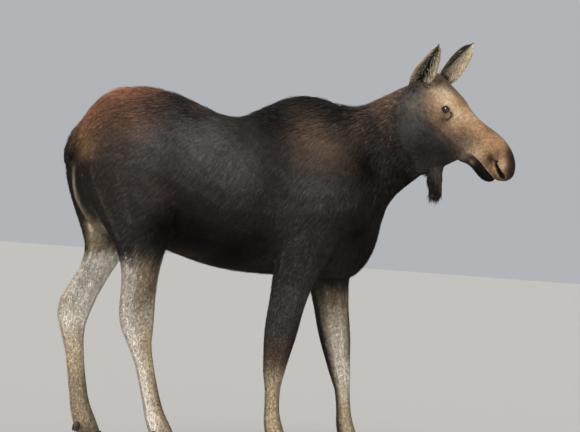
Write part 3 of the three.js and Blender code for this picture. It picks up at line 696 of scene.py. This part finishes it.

# Round the mouth a pale edge, and dark lips, nostrils, chin, lids and creases; the dark in the nostrils,
# along the mouth's line, in the creases and on the chin under the upper lip is partly painted shade.
nostril_gap, nostril_share = line_gap(x, z, NOSTRIL)
mouth_gap = line_gap(x, z, MOUTH)[0]
mark("fawn", face * (1 - on_jaw) * 0.7 * ramp(mouth_gap, 0.013, 0.008) * ramp(z, -0.158, -0.148))
# Painted shade in the fold's groove.
mark("soot", fold_shade)
# Painted shade in the crease over the upper lid.
lid_crease_shade = peak(inside, -0.0090, 0.0020) * ramp(height, -0.002, 0.004)
mark("soot", 0.55 * lid_crease_shade * by_eye)
# The chin under the overhanging upper lip: black hair and painted shadow.
shaded_chin = ramp(x, 0.39, 0.43) * ramp(mouth_gap, 0.0, 0.004) * (z < np.interp(x, *np.array(MOUTH).T))
# Painted shade in the nostrils and along the mouth's line, over dark bare skin.
nostril = ramp(nostril_gap, 0.005 + 0.011 * nostril_share, 0.002 + 0.009 * nostril_share) * (y > 0.015)
lips = ramp(mouth_gap, 0.0045, 0.002) * ramp(x, 0.40, 0.43)
nostril_and_mouth_gaps = face * np.maximum(nostril, lips)
eyelids = ramp(inside, -0.0064, -0.0040)
for there in (nostril_and_mouth_gaps, face * shaded_chin, eyelids):
    mark("soot", there)
# The whiskered corner of the lower lip is a little paler.
whiskered = face * near(in_head, (0.440, 0.046, -0.170), 0.018)
marks["soot"] *= 1 - 0.5 * whiskered
mark("fawn", 0.4 * whiskered)

# The ears are dark behind, tan along the edge and the tip, and black deep inside.
ears = ramp(up_ear, 0.03, 0.09)
into = ramp(cup, 0.1, 0.5)
edge_side = np.abs(ear_side)
mark("brown", ears * 0.9 * (1 - into))
mark("soot", ears * 0.55 * (1 - into) * ramp(edge_side, 0.9, 0.6))
mark("fawn", ears * 0.40 * into)
mark("soot", ears * 0.96 * into * ramp(edge_side, 0.90, 0.65) * ramp(up_ear, 0.99, 0.88))
mark("tan", ears * 0.7 * ramp(edge_side, 0.82, 0.94))
mark("fawn", ears * 0.6 * into * ramp(edge_side, 0.80, 0.92))
mark("fawn", ears * 0.6 * ramp(up_ear, 0.92, 0.97))
# The left ear's inner half is brown like its back, and its outer half shows a pale lining, with a
# cream line between them.
left_ear = ears * on("ear_left")
lining = left_ear * ramp(ear_side, -0.05, 0.10)
marks["soot"] *= 1 - 0.75 * lining
mark("fawn", 0.25 * lining)
mark("tan", 0.8 * lining)
mark("cream", left_ear * 0.35 * peak(ear_side, 0.10, 0.16) * ramp(up_ear, 0.05, 0.2))
mark("cream", left_ear * 0.6 * ramp(up_ear, 0.80, 0.92) * ramp(ear_side, -0.3, 0.1))
backed = left_ear * ramp(ear_side, -0.1, -0.3)
for colour, share in (("fawn", 0.9), ("tan", 0.85), ("soot", 0.25)):
    marks[colour] *= 1 - share * backed
mark("brown", 0.9 * backed)
mark("soot", 0.5 * backed)
for colour in marks:
    marks[colour] = relaxed(marks[colour], edges, 8 if colour in ("fawn", "rust", "brown") else 3)


def linear(code):
    """An sRGB hex colour as linear numbers."""
    parts = [int(code[i : i + 2], 16) / 255 for i in (1, 3, 5)]
    return [part / 12.92 if part <= 0.04045 else ((part + 0.055) / 1.055) ** 2.4 for part in parts] + [1]


def add(tree, kind, inputs=None, **settings):
    """Adds a node; each input is a value or the output that feeds it."""
    made = tree.nodes.new("ShaderNode" + kind)
    for name, value in settings.items():
        setattr(made, name, value)
    for name, value in (inputs or {}).items():
        if isinstance(value, bpy.types.NodeSocket):
            tree.links.new(value, made.inputs[name])
        else:
            made.inputs[name].default_value = value
    return made


def material(name, roughness, **shine):
    """A new material, its node tree and its shader; shine sets more of the shader's sockets."""
    made = bpy.data.materials.new(name)
    made.use_nodes = True
    surface = made.node_tree.nodes["Principled BSDF"]
    surface.inputs["Roughness"].default_value = roughness
    for socket, value in shine.items():
        surface.inputs[socket.replace("_", " ")].default_value = value
    return made, made.node_tree, surface


MIXED = {"data_type": "RGBA"}
MULTIPLIED = {"data_type": "RGBA", "blend_type": "MULTIPLY"}


def hair_colour(tree):
    """The marked colour of the hair, with painted sheen and shade among the marks, charcoal under all the
    others, finely mottled.
    """
    colour = linear(CHARCOAL)
    for field, code in COLOURS.items():
        share = add(tree, "Attribute", attribute_name=field).outputs["Fac"]
        mixed = add(tree, "Mix", {"Factor": share, "A": colour, "B": linear(code)}, **MIXED)
        colour = mixed.outputs["Result"]
    where = add(tree, "TexCoord").outputs["Object"]
    fine = {"Scale": 85, "Detail": 4, "Roughness": 0.6}  # 12 mm across, the breadth of a few locks
    mottle = add(tree, "TexNoise", {"Vector": where, **fine}).outputs["Fac"]
    spread = {"From Min": 0.32, "From Max": 0.68, "To Min": 0.68, "To Max": 1.28}
    shade = add(tree, "MapRange", {"Value": mottle, **spread}).outputs[0]
    return add(tree, "Mix", {"Factor": 1.0, "A": colour, "B": shade}, **MULTIPLIED).outputs["Result"]


def lay(mesh, name, values):
    """Writes one number for each vertex as a named attribute."""
    layer = mesh.attributes.new(name, "FLOAT", "POINT")
    layer.data.foreach_set("value", np.ascontiguousarray(values, np.float32))


# Skin under hair is dull: the same markings, darker, blotched at about 26 mm, and with a grain of
# 2.4 mm as bump. Real hair is finer; the grain is drawn so coarse to show.
moose_skin, tree, surface = material("moose skin with short hair", 0.75, Specular_IOR_Level=0.12)
where = add(tree, "TexCoord").outputs["Object"]
broad = {"Scale": 38, "Detail": 5, "Roughness": 0.65}
blotches = add(tree, "TexNoise", {"Vector": where, **broad}).outputs["Fac"]
spread = {"From Min": 0.3, "From Max": 0.7, "To Min": 0.68, "To Max": 1.06}
shade = add(tree, "MapRange", {"Value": blotches, **spread}).outputs[0]
skin_colour = add(tree, "Mix", {"Factor": 1.0, "A": hair_colour(tree), "B": shade}, **MULTIPLIED)
tree.links.new(skin_colour.outputs["Result"], surface.inputs["Base Color"])
grain = add(tree, "TexNoise", {"Vector": where, "Scale": 420, "Detail": 3}).outputs["Fac"]
bump = add(tree, "Bump", {"Height": grain, "Strength": 0.5, "Distance": 0.0015})
tree.links.new(bump.outputs[0], surface.inputs["Normal"])
mesh.materials.clear()
mesh.materials.append(moose_skin)
mesh.polygons.foreach_set("use_smooth", [True] * len(mesh.polygons))
for colour, share in marks.items():
    lay(mesh, colour, share)
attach(hide, "root")
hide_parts(*FLESH)

# ---- The coat -------------------------------------------------------------------------------------
# Coarse guard hair in thousands of thin, pointed locks, rooted in the hide and lying back and down
# along the body: long on the rump, the hump and the throat, short on the face and the legs. Each
# lock is a closed three-sided blade, made by arrays and joined into one mesh for each region.

points = read(mesh.vertices, "co")
outward = unit(relaxed(read(mesh.vertex_normals, "vector"), edges, 2))
triangles = read(mesh.polygons, "vertices", 3, int)
hide_tree = BVHTree.FromPolygons([Vector(p) for p in points], triangles.tolist())
first, second, third = (points[triangles[:, i]] for i in range(3))
sizes = np.linalg.norm(np.cross(second - first, third - first), axis=1) / 2
straight = straightened(points)[0]
in_head = to_head(straight)


def unwrapped(kind):
    """The hide opened out flat, along and round a part's own length."""
    x, y, z = straight.T
    if kind == "head":
        x, y, z = in_head.T
        flat = np.stack([x, np.arctan2(y, z + 0.12) * 0.1], 1)
    elif kind == "ear":
        flat = np.stack([up_ear * 0.27 + 0.3 * (cup > 0), in_head[:, 1] + in_head[:, 0]], 1)
    elif kind in LEG_LINES:
        middle_x, middle_z = np.array(LEG_LINES[kind][::-1]).T
        round_leg = np.arctan2(np.abs(y) - OUTWARD[kind[:4]], x - np.interp(z, middle_z, middle_x))
        flat = np.stack([z, round_leg * 0.2], 1)
    else:
        flat = np.stack([x, np.arctan2(y, z - 1.3) * 0.4], 1)
    return flat


# Dry coarse hair has only a faint sheen. Each lock is lighter or darker than the next, and darkened towards
# its root by painted shade, so that the coat has depth.
fur, tree, surface = material("moose guard hair", 0.55, Specular_IOR_Level=0.15)
strand = add(tree, "Attribute", attribute_name="strand").outputs["Fac"]
along = add(tree, "Attribute", attribute_name="along").outputs["Fac"]
light = add(tree, "MapRange", {"Value": strand, "To Min": 0.62, "To Max": 1.46}).outputs[0]
root_shade = add(tree, "MapRange", {"Value": along, "To Min": 0.72, "To Max": 1.15}).outputs[0]
shade = add(tree, "Math", {0: light, 1: root_shade}, operation="MULTIPLY").outputs[0]
fur_colour = add(tree, "Mix", {"Factor": 1.0, "A": hair_colour(tree), "B": shade}, **MULTIPLIED)
tree.links.new(fur_colour.outputs["Result"], surface.inputs["Base Color"])

# A lock's corners: three round its root, three at its bend unless it is straight, and its tip.
CURVED = [(2, 1, 0), (0, 1, 4, 3), (1, 2, 5, 4), (2, 0, 3, 5), (3, 4, 6), (4, 5, 6), (5, 3, 6)]
STRAIGHT = [(2, 1, 0), (0, 1, 3), (1, 2, 3), (2, 0, 3)]


def sampled(values, face, parts):
    """Values of the hide's vertices, blended at places inside its faces."""
    return np.einsum("ij...,ij->i...", values[triangles[face]], parts)


def ripple(root, fine):
    """A smooth wavering over the body, from -1 to 1."""
    waves = np.sin(root @ (31, 17, 23) * fine) + np.sin(root @ (-19, 37, -29) * fine + 2)
    return (waves + np.sin(root @ (11, -41, 47) * fine + 4)) / 3


def grow(
    name, there, amount, kind, slot, curved=False, ways=None, colours=None, rise=(0.6, 1.2), size=(1, 1)
):
    """Roots locks over the hide's faces, as densely as there says, and joins them in one mesh.

    Their tips stand off the hide by rise times the coat's depth, and size scales their length and
    breadth.
    """
    # A face for each lock, picked by the room on it, and a place inside that face.
    chance = sizes * there[triangles].mean(1)
    chance = np.cumsum(chance / (measures[triangles].mean(1)[:, 1] * measures[triangles].mean(1)[:, 2]))
    picks = (np.arange(amount) + rng.random(amount)) / amount * chance[-1]
    face = np.searchsorted(chance, picks)
    a, b = rng.random((2, amount))
    a, b = np.where(a + b > 1, 1 - a, a), np.where(a + b > 1, 1 - b, b)
    parts = np.stack([1 - a - b, a, b], 1)
    root = sampled(points, face, parts)
    normal = unit(sampled(outward, face, parts))
    deep, length, width = sampled(measures, face, parts).T
    shaggy = np.clip((length - 0.046) / 0.030, 0, 1)
    tuft = ripple(root, 5)
    length = length * size[0] * rng.uniform(0.7, 1.3, amount)
    width = width * size[1] * rng.uniform(0.7, 1.3, amount)
    # The way it points along the hide, with some sway, and how high its tip stands off the hide.
    way = sampled(lie if ways is None else ways, face, parts)
    way = unit(way - normal * (way * normal).sum(1)[:, None])
    sway = 0.14 * ripple(root, 1) + (0.05 + 0.16 * shaggy) * tuft
    sway += rng.normal(0, 0.07 + 0.06 * shaggy, amount)
    way = unit(way + np.cross(normal, way) * sway[:, None])
    loose = sampled(dangling, face, parts)[:, None]
    way = unit(way + loose * (0, 0, -0.9))
    height = deep * rng.uniform(*rise, amount) * (1 + (0.15 + 0.30 * shaggy) * tuft)
    reach = root + way * length[:, None]
    nearest = [hide_tree.find_nearest(place)[:2] for place in reach]
    tip = np.array([place + facing * lift for (place, facing), lift in zip(nearest, height)])
    tip += loose * (reach - tip)
    # Its corners, and where each lies on its small patch of the map.
    half = np.cross(normal, way) * (width / 2)[:, None]
    ridge = normal * (width * 0.32)[:, None]
    base = root - normal * 0.0015
    if curved:
        bend = root + (tip - root) * 0.45 + normal * (height * 0.30 * (1 - loose[:, 0]))[:, None]
        low = ridge * 0.2
        rings = [base - half * 0.8, base + half * 0.8, base + ridge]
        rings += [bend - half - low, bend + half - low, bend + ridge, tip]
        spread = [(-0.8, -1), (0.8, -1), (0, -1), (-1, 0), (1, 0), (0, 0), (0, 1)]
        share, sides = [0, 0, 0, 0.45, 0.45, 0.45, 1], CURVED
    else:
        rings = [base - half, base + half, base + ridge + way * 0.001, tip]
        spread = [(-1, -1), (1, -1), (0, -0.6), (0, 1)]
        share, sides = [0, 0, 0, 1], STRAIGHT
    count = len(rings)
    corners = np.stack(rings, 1).reshape(-1, 3)
    pattern = np.concatenate(sides)
    loops = (np.arange(amount)[:, None] * count + pattern).ravel()
    lengths = np.tile([len(face_corners) for face_corners in sides], amount)
    # The mesh, its map, its markings, and a tone for each lock.
    made = bpy.data.meshes.new(name)
    made.vertices.add(len(corners))
    made.vertices.foreach_set("co", corners.ravel())
    made.loops.add(len(loops))
    made.loops.foreach_set("vertex_index", loops)
    made.polygons.add(len(lengths))
    made.polygons.foreach_set("loop_start", np.cumsum(lengths) - lengths)
    made.polygons.foreach_set("loop_total", lengths)
    made.update(calc_edges=True)
    made.polygons.foreach_set("use_smooth", [True] * len(lengths))
    flat = sampled(unwrapped(kind), face, parts)
    flat = 0.004 + 0.992 * (flat - flat.min(0)) / np.ptp(flat, axis=0)
    patch = flat[:, None] + np.array(spread) * 0.0015
    made.uv_layers.new(name="OFBake").data.foreach_set("uv", patch.reshape(-1, 2)[loops].ravel())
    for colour, share_there in (colours or marks).items():
        here = sampled(share_there, face, parts)
        here += (rng.random(amount) - 0.5) * 2.0 * here * (1 - here)
        lay(made, colour, np.repeat(np.clip(here, 0, 1), count))
    wavy = np.clip((length - 0.012) / 0.025, 0.25, 1)  # long hair clumps, short hair hardly does
    tone = 0.5 + wavy * (0.34 * tuft + 0.20 * ripple(root, 2.3)) + rng.normal(0, 0.17, amount)
    tone = np.clip(tone, 0, 1)
    lay(made, "strand", np.repeat(tone, count))
    lay(made, "along", np.tile(share, amount))
    made.materials.append(fur)
    piece = bpy.data.objects.new(name, made)
    collection.objects.link(piece)
    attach(piece, "root")


# Hair hangs free at the ends of the bell and the tail.
dangling = relaxed(on("bell") + 0.6 * on("tail") * ramp(straight[:, 2], 1.40, 1.34), edges, 4)
# None grows on the lips, in the nostrils or along the lids.
bare = (relaxed(nostril_and_mouth_gaps, edges, 1) > 0.2) | (inside > -0.004)
# The rump and the withers carry a crest of longer, curving hair.
crest = np.zeros(len(points))
for at, reach, *_ in SHAGGY[:6]:
    crest = np.maximum(crest, near(straight, at, reach) * on("trunk"))
crest = ramp(crest, 0.2, 0.6)
rear = on("trunk") * ramp(straight[:, 0], -0.08, -0.12)
front = on("trunk") - rear
right_half = straight[:, 1] <= 0
HALVES = (("right", right_half), ("left", ~right_half))
for part, there in (("haunch", rear), ("shoulder", front)):
    for half, on_half in HALVES:
        there_and_low = there * on_half * (1 - 0.6 * crest)
        grow(f"coat_{part}_{half}", there_and_low, 36000, "trunk", "dark_coat")
grow("coat_crest", crest, 13000, "trunk", "dark_coat", curved=True, rise=(0.8, 1.5))
for part, amount in (("neck", 10500), ("bell", 1300), ("tail", 800)):
    grow(f"coat_{part}", on(part) * 1.0, amount, "trunk", "dark_coat", curved=True)
for leg in LEG_LINES:
    grow(f"coat_{leg}_upper", on(f"{leg}_upper_leg") * 1.0, 13000, leg, "dark_coat")
    grow(f"coat_{leg}_shank", on(f"{leg}_cannon", f"{leg}_foot") * (1 - sole), 10000, leg, "pale_coat")
haired = on_face * (up_ear < 0.06) * ~bare
FLAT = (0.4, 1.0)
for half, on_half in HALVES:
    grow(f"coat_face_{half}", haired * on_half, 31000, "head", "face_coat", rise=FLAT)
grow("coat_ears", (up_ear >= 0.04) * 1.0, 10000, "ear", "face_coat", rise=FLAT)

# Long pale hairs stand across the cup of each ear from its edges, over black skin.
pale = dict(marks, soot=0 * x, fawn=1 + 0 * x, cream=0.2 + 0 * x)
fringe = into * (1 - 0.9 * backed) * (0.25 + ramp(edge_side, 0.35, 0.7))
fringe *= ramp(up_ear, 0.05, 0.15) * ramp(up_ear, 0.95, 0.75)
across_cup = unit(0.75 * lie + 0.5 * ear_inward + 0.35 * outward)
standing = {"ways": across_cup, "colours": pale, "rise": (4, 12), "size": (2.4, 1.0)}
grow("coat_ear_fringe", fringe, 1300, "ear", "face_coat", **standing)

# ---- The eyes -------------------------------------------------------------------------------------
# Dark brown eyes with a level, oval pupil behind a clear wet cornea, each a ball that bulges where
# the cornea is. The lids of the hide hold them.

wet = {"Coat_Weight": 1.0, "Coat_Roughness": 0.02, "Specular_IOR_Level": 0.5}
iris, tree, surface = material("wet eye", 0.04, **wet)
across = add(tree, "Attribute", attribute_name="across").outputs["Fac"]
upward = add(tree, "Attribute", attribute_name="upward").outputs["Fac"]
wide = add(tree, "Math", {0: across, 1: 0.62}, operation="MULTIPLY").outputs[0]
slot = add(tree, "CombineXYZ", {"X": wide, "Y": upward}).outputs[0]
pupil = add(tree, "VectorMath", {0: slot}, operation="LENGTH").outputs["Value"]
disc = add(tree, "CombineXYZ", {"X": across, "Y": upward}).outputs[0]
radial = add(tree, "VectorMath", {0: disc}, operation="LENGTH").outputs["Value"]
where = add(tree, "TexCoord").outputs["Object"]
fibres = add(tree, "TexNoise", {"Vector": where, "Scale": 700, "Detail": 2}).outputs["Fac"]
browns = {"A": linear("#140b07"), "B": linear("#28170e")}
brown = add(tree, "Mix", {"Factor": fibres, **browns}, **MIXED).outputs["Result"]
edge = add(tree, "MapRange", {"Value": radial, "From Min": 0.0125, "From Max": 0.0150}).outputs[0]
ringed = add(tree, "Mix", {"Factor": edge, "A": brown, "B": linear("#120c0a")}, **MIXED).outputs["Result"]
open_pupil = add(tree, "MapRange", {"Value": pupil, "From Min": 0.0050, "From Max": 0.0042}).outputs[0]
seen = add(tree, "Mix", {"Factor": open_pupil, "A": ringed, "B": linear("#030304")}, **MIXED)
tree.links.new(seen.outputs["Result"], surface.inputs["Base Color"])

CORNEA = 0.72  # how far it reaches from the gaze, in radians
for name, outer in (("eye_left", 1), ("eye_right", -1)):
    ball_mesh = bmesh.new()
    bmesh.ops.create_uvsphere(ball_mesh, u_segments=40, v_segments=28, radius=EYE_RADIUS)
    local = np.array([vertex.co for vertex in ball_mesh.verts])
    off_gaze = np.arccos(np.clip(local[:, 2] / EYE_RADIUS, -1, 1))
    local *= 1 + 0.05 * ramp(off_gaze, CORNEA, 0)[:, None]
    ball = bpy.data.meshes.new(name + "_ball")
    ball_mesh.to_mesh(ball)
    ball_mesh.free()
    # The ball's own x runs forwards along the opening, its y up and its z looks outwards.
    axes = from_head(np.stack([forward, upper, gaze]) * (1, outer, 1))
    centre = carried(on_head(EYE * (1, outer, 1)))[0] + shift
    put(ball, local @ axes + centre)
    lay(ball, "across", local[:, 0])
    lay(ball, "upward", local[:, 1])
    ball.polygons.foreach_set("use_smooth", [True] * len(ball.polygons))
    if np.linalg.det(axes) < 0:
        ball.flip_normals()
    ball.materials.append(iris)
    piece = bpy.data.objects.new(name + "_ball", ball)
    collection.objects.link(piece)
    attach(piece, "root")
    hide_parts(name)

# ---- The claws ------------------------------------------------------------------------------------
# Two pointed horny claws on each foot and two small dewclaws behind it, black-brown horn with
# faint growth rings, duller and dustier towards the floor.

horn, tree, surface = material("hoof horn", 0.42)  # smooth but dull, as it is scuffed
where = add(tree, "TexCoord").outputs["Object"]
parts = add(tree, "SeparateXYZ", {"Vector": where})
waver = add(tree, "TexNoise", {"Vector": where, "Scale": 30, "Detail": 3}).outputs["Fac"]
bent_height = add(tree, "Math", {0: waver, 1: 0.02, 2: parts.outputs["Z"]}, operation="MULTIPLY_ADD")
ring_place = add(tree, "CombineXYZ", {"Z": bent_height.outputs[0]}).outputs[0]
rings = {"Vector": ring_place, "Scale": 42, "Detail": 1}
ring = add(tree, "TexWave", rings, bands_direction="Z").outputs["Fac"]
dust = add(tree, "MapRange", {"Value": parts.outputs["Z"], "From Min": 0.03, "From Max": 0.0}).outputs[0]
worn = add(tree, "Math", {0: dust, 1: waver}, operation="MULTIPLY").outputs[0]
horns = {"A": linear("#1c1714"), "B": linear("#322a24")}
dark_horn = add(tree, "Mix", {"Factor": ring, **horns}, **MIXED).outputs["Result"]
dusty = add(tree, "Mix", {"Factor": worn, "A": dark_horn, "B": linear("#6f6353")}, **MIXED)
tree.links.new(dusty.outputs["Result"], surface.inputs["Base Color"])
bump = add(tree, "Bump", {"Height": ring, "Strength": 0.4, "Distance": 0.0008})
tree.links.new(bump.outputs[0], surface.inputs["Normal"])
for leg in LEGS:
    for claw in ("claw_left", "claw_right", "dewclaw_left", "dewclaw_right"):
        node = nodes[f"{leg}_{claw}"]
        node.data.materials.clear()
        node.data.materials.append(horn)

# ---- Floor, light and camera ----------------------------------------------------------------------
# A plain pale studio: a wide matte floor, a broad soft key and a low light from the left, fainter
# ones from the right and from behind, and a camera far off to her right, a little below her back.

floor_mesh = bmesh.new()
bmesh.ops.create_grid(floor_mesh, x_segments=2, y_segments=2, size=40)
floor = bpy.data.objects.new("floor", bpy.data.meshes.new("floor"))
floor_mesh.to_mesh(floor.data)
floor_mesh.free()
studio_floor, tree, surface = material("matte studio floor", 0.9)
surface.inputs["Base Color"].default_value = linear("#b3b1ad")
floor.data.materials.append(studio_floor)
collection.objects.link(floor)

world = bpy.data.worlds.new("studio")
bpy.context.scene.world = world
world.use_nodes = True
world.node_tree.nodes["Background"].inputs["Color"].default_value = (0.78, 0.80, 0.83, 1)
world.node_tree.nodes["Background"].inputs["Strength"].default_value = 0.57
bpy.context.scene.view_settings.view_transform = "Standard"

for name, at, spread, power, colour in (
    ("key", (-5.0, -5.6, 5.0), 30, 2.9, (1.0, 0.97, 0.93)),
    ("low", (-2.5, -6.0, 1.1), 50, 1.2, (1.0, 0.98, 0.95)),
    ("fill", (5.0, -4.0, 3.0), 60, 0.35, (0.93, 0.96, 1.0)),
    ("back", (-1.0, 4.5, 5.5), 60, 0.5, (1.0, 1.0, 1.0)),
):
    lamp = bpy.data.lights.new(name, "SUN")
    lamp.angle = math.radians(spread)
    lamp.energy = power
    lamp.color = colour
    light = bpy.data.objects.new(name, lamp)
    light.location = at
    light.visible_glossy = name == "key"
    light.rotation_euler = Vector(at).to_track_quat("Z", "Y").to_euler()
    collection.objects.link(light)

AZIMUTH, ELEVATION, ROLL = (math.radians(angle) for angle in (-12, 4, 4.5))
# It stands this far off, and looks this far right of the middle of the floor and this far up. Its
# roll lets the floor seem to fall to the right.
FAR = 20
AIM_RIGHT, AIM_UP = 0.4206, 1.128
right = Vector((math.cos(AZIMUTH), math.sin(AZIMUTH), 0))
level_back = Vector((math.sin(AZIMUTH), -math.cos(AZIMUTH), 0))
back = level_back * math.cos(ELEVATION) + Vector((0, 0, math.sin(ELEVATION)))
up = back.cross(right)
tilted_right = right * math.cos(ROLL) + up * math.sin(ROLL)
tilted_up = up * math.cos(ROLL) - right * math.sin(ROLL)
floor_mark = Vector((shift[0], shift[1], 0))
camera = bpy.data.objects.new("camera", bpy.data.cameras.new("camera"))
camera.data.lens = 265.7
camera.data.sensor_width = 36
camera.data.clip_end = 200
camera.location = floor_mark + back * FAR
aim = floor_mark + tilted_right * AIM_RIGHT + tilted_up * AIM_UP
look = (camera.location - aim).normalized()
across_view = tilted_up.cross(look).normalized()
camera.rotation_euler = Matrix((across_view, look.cross(across_view), look)).transposed().to_euler()
collection.objects.link(camera)
bpy.context.scene.camera = camera
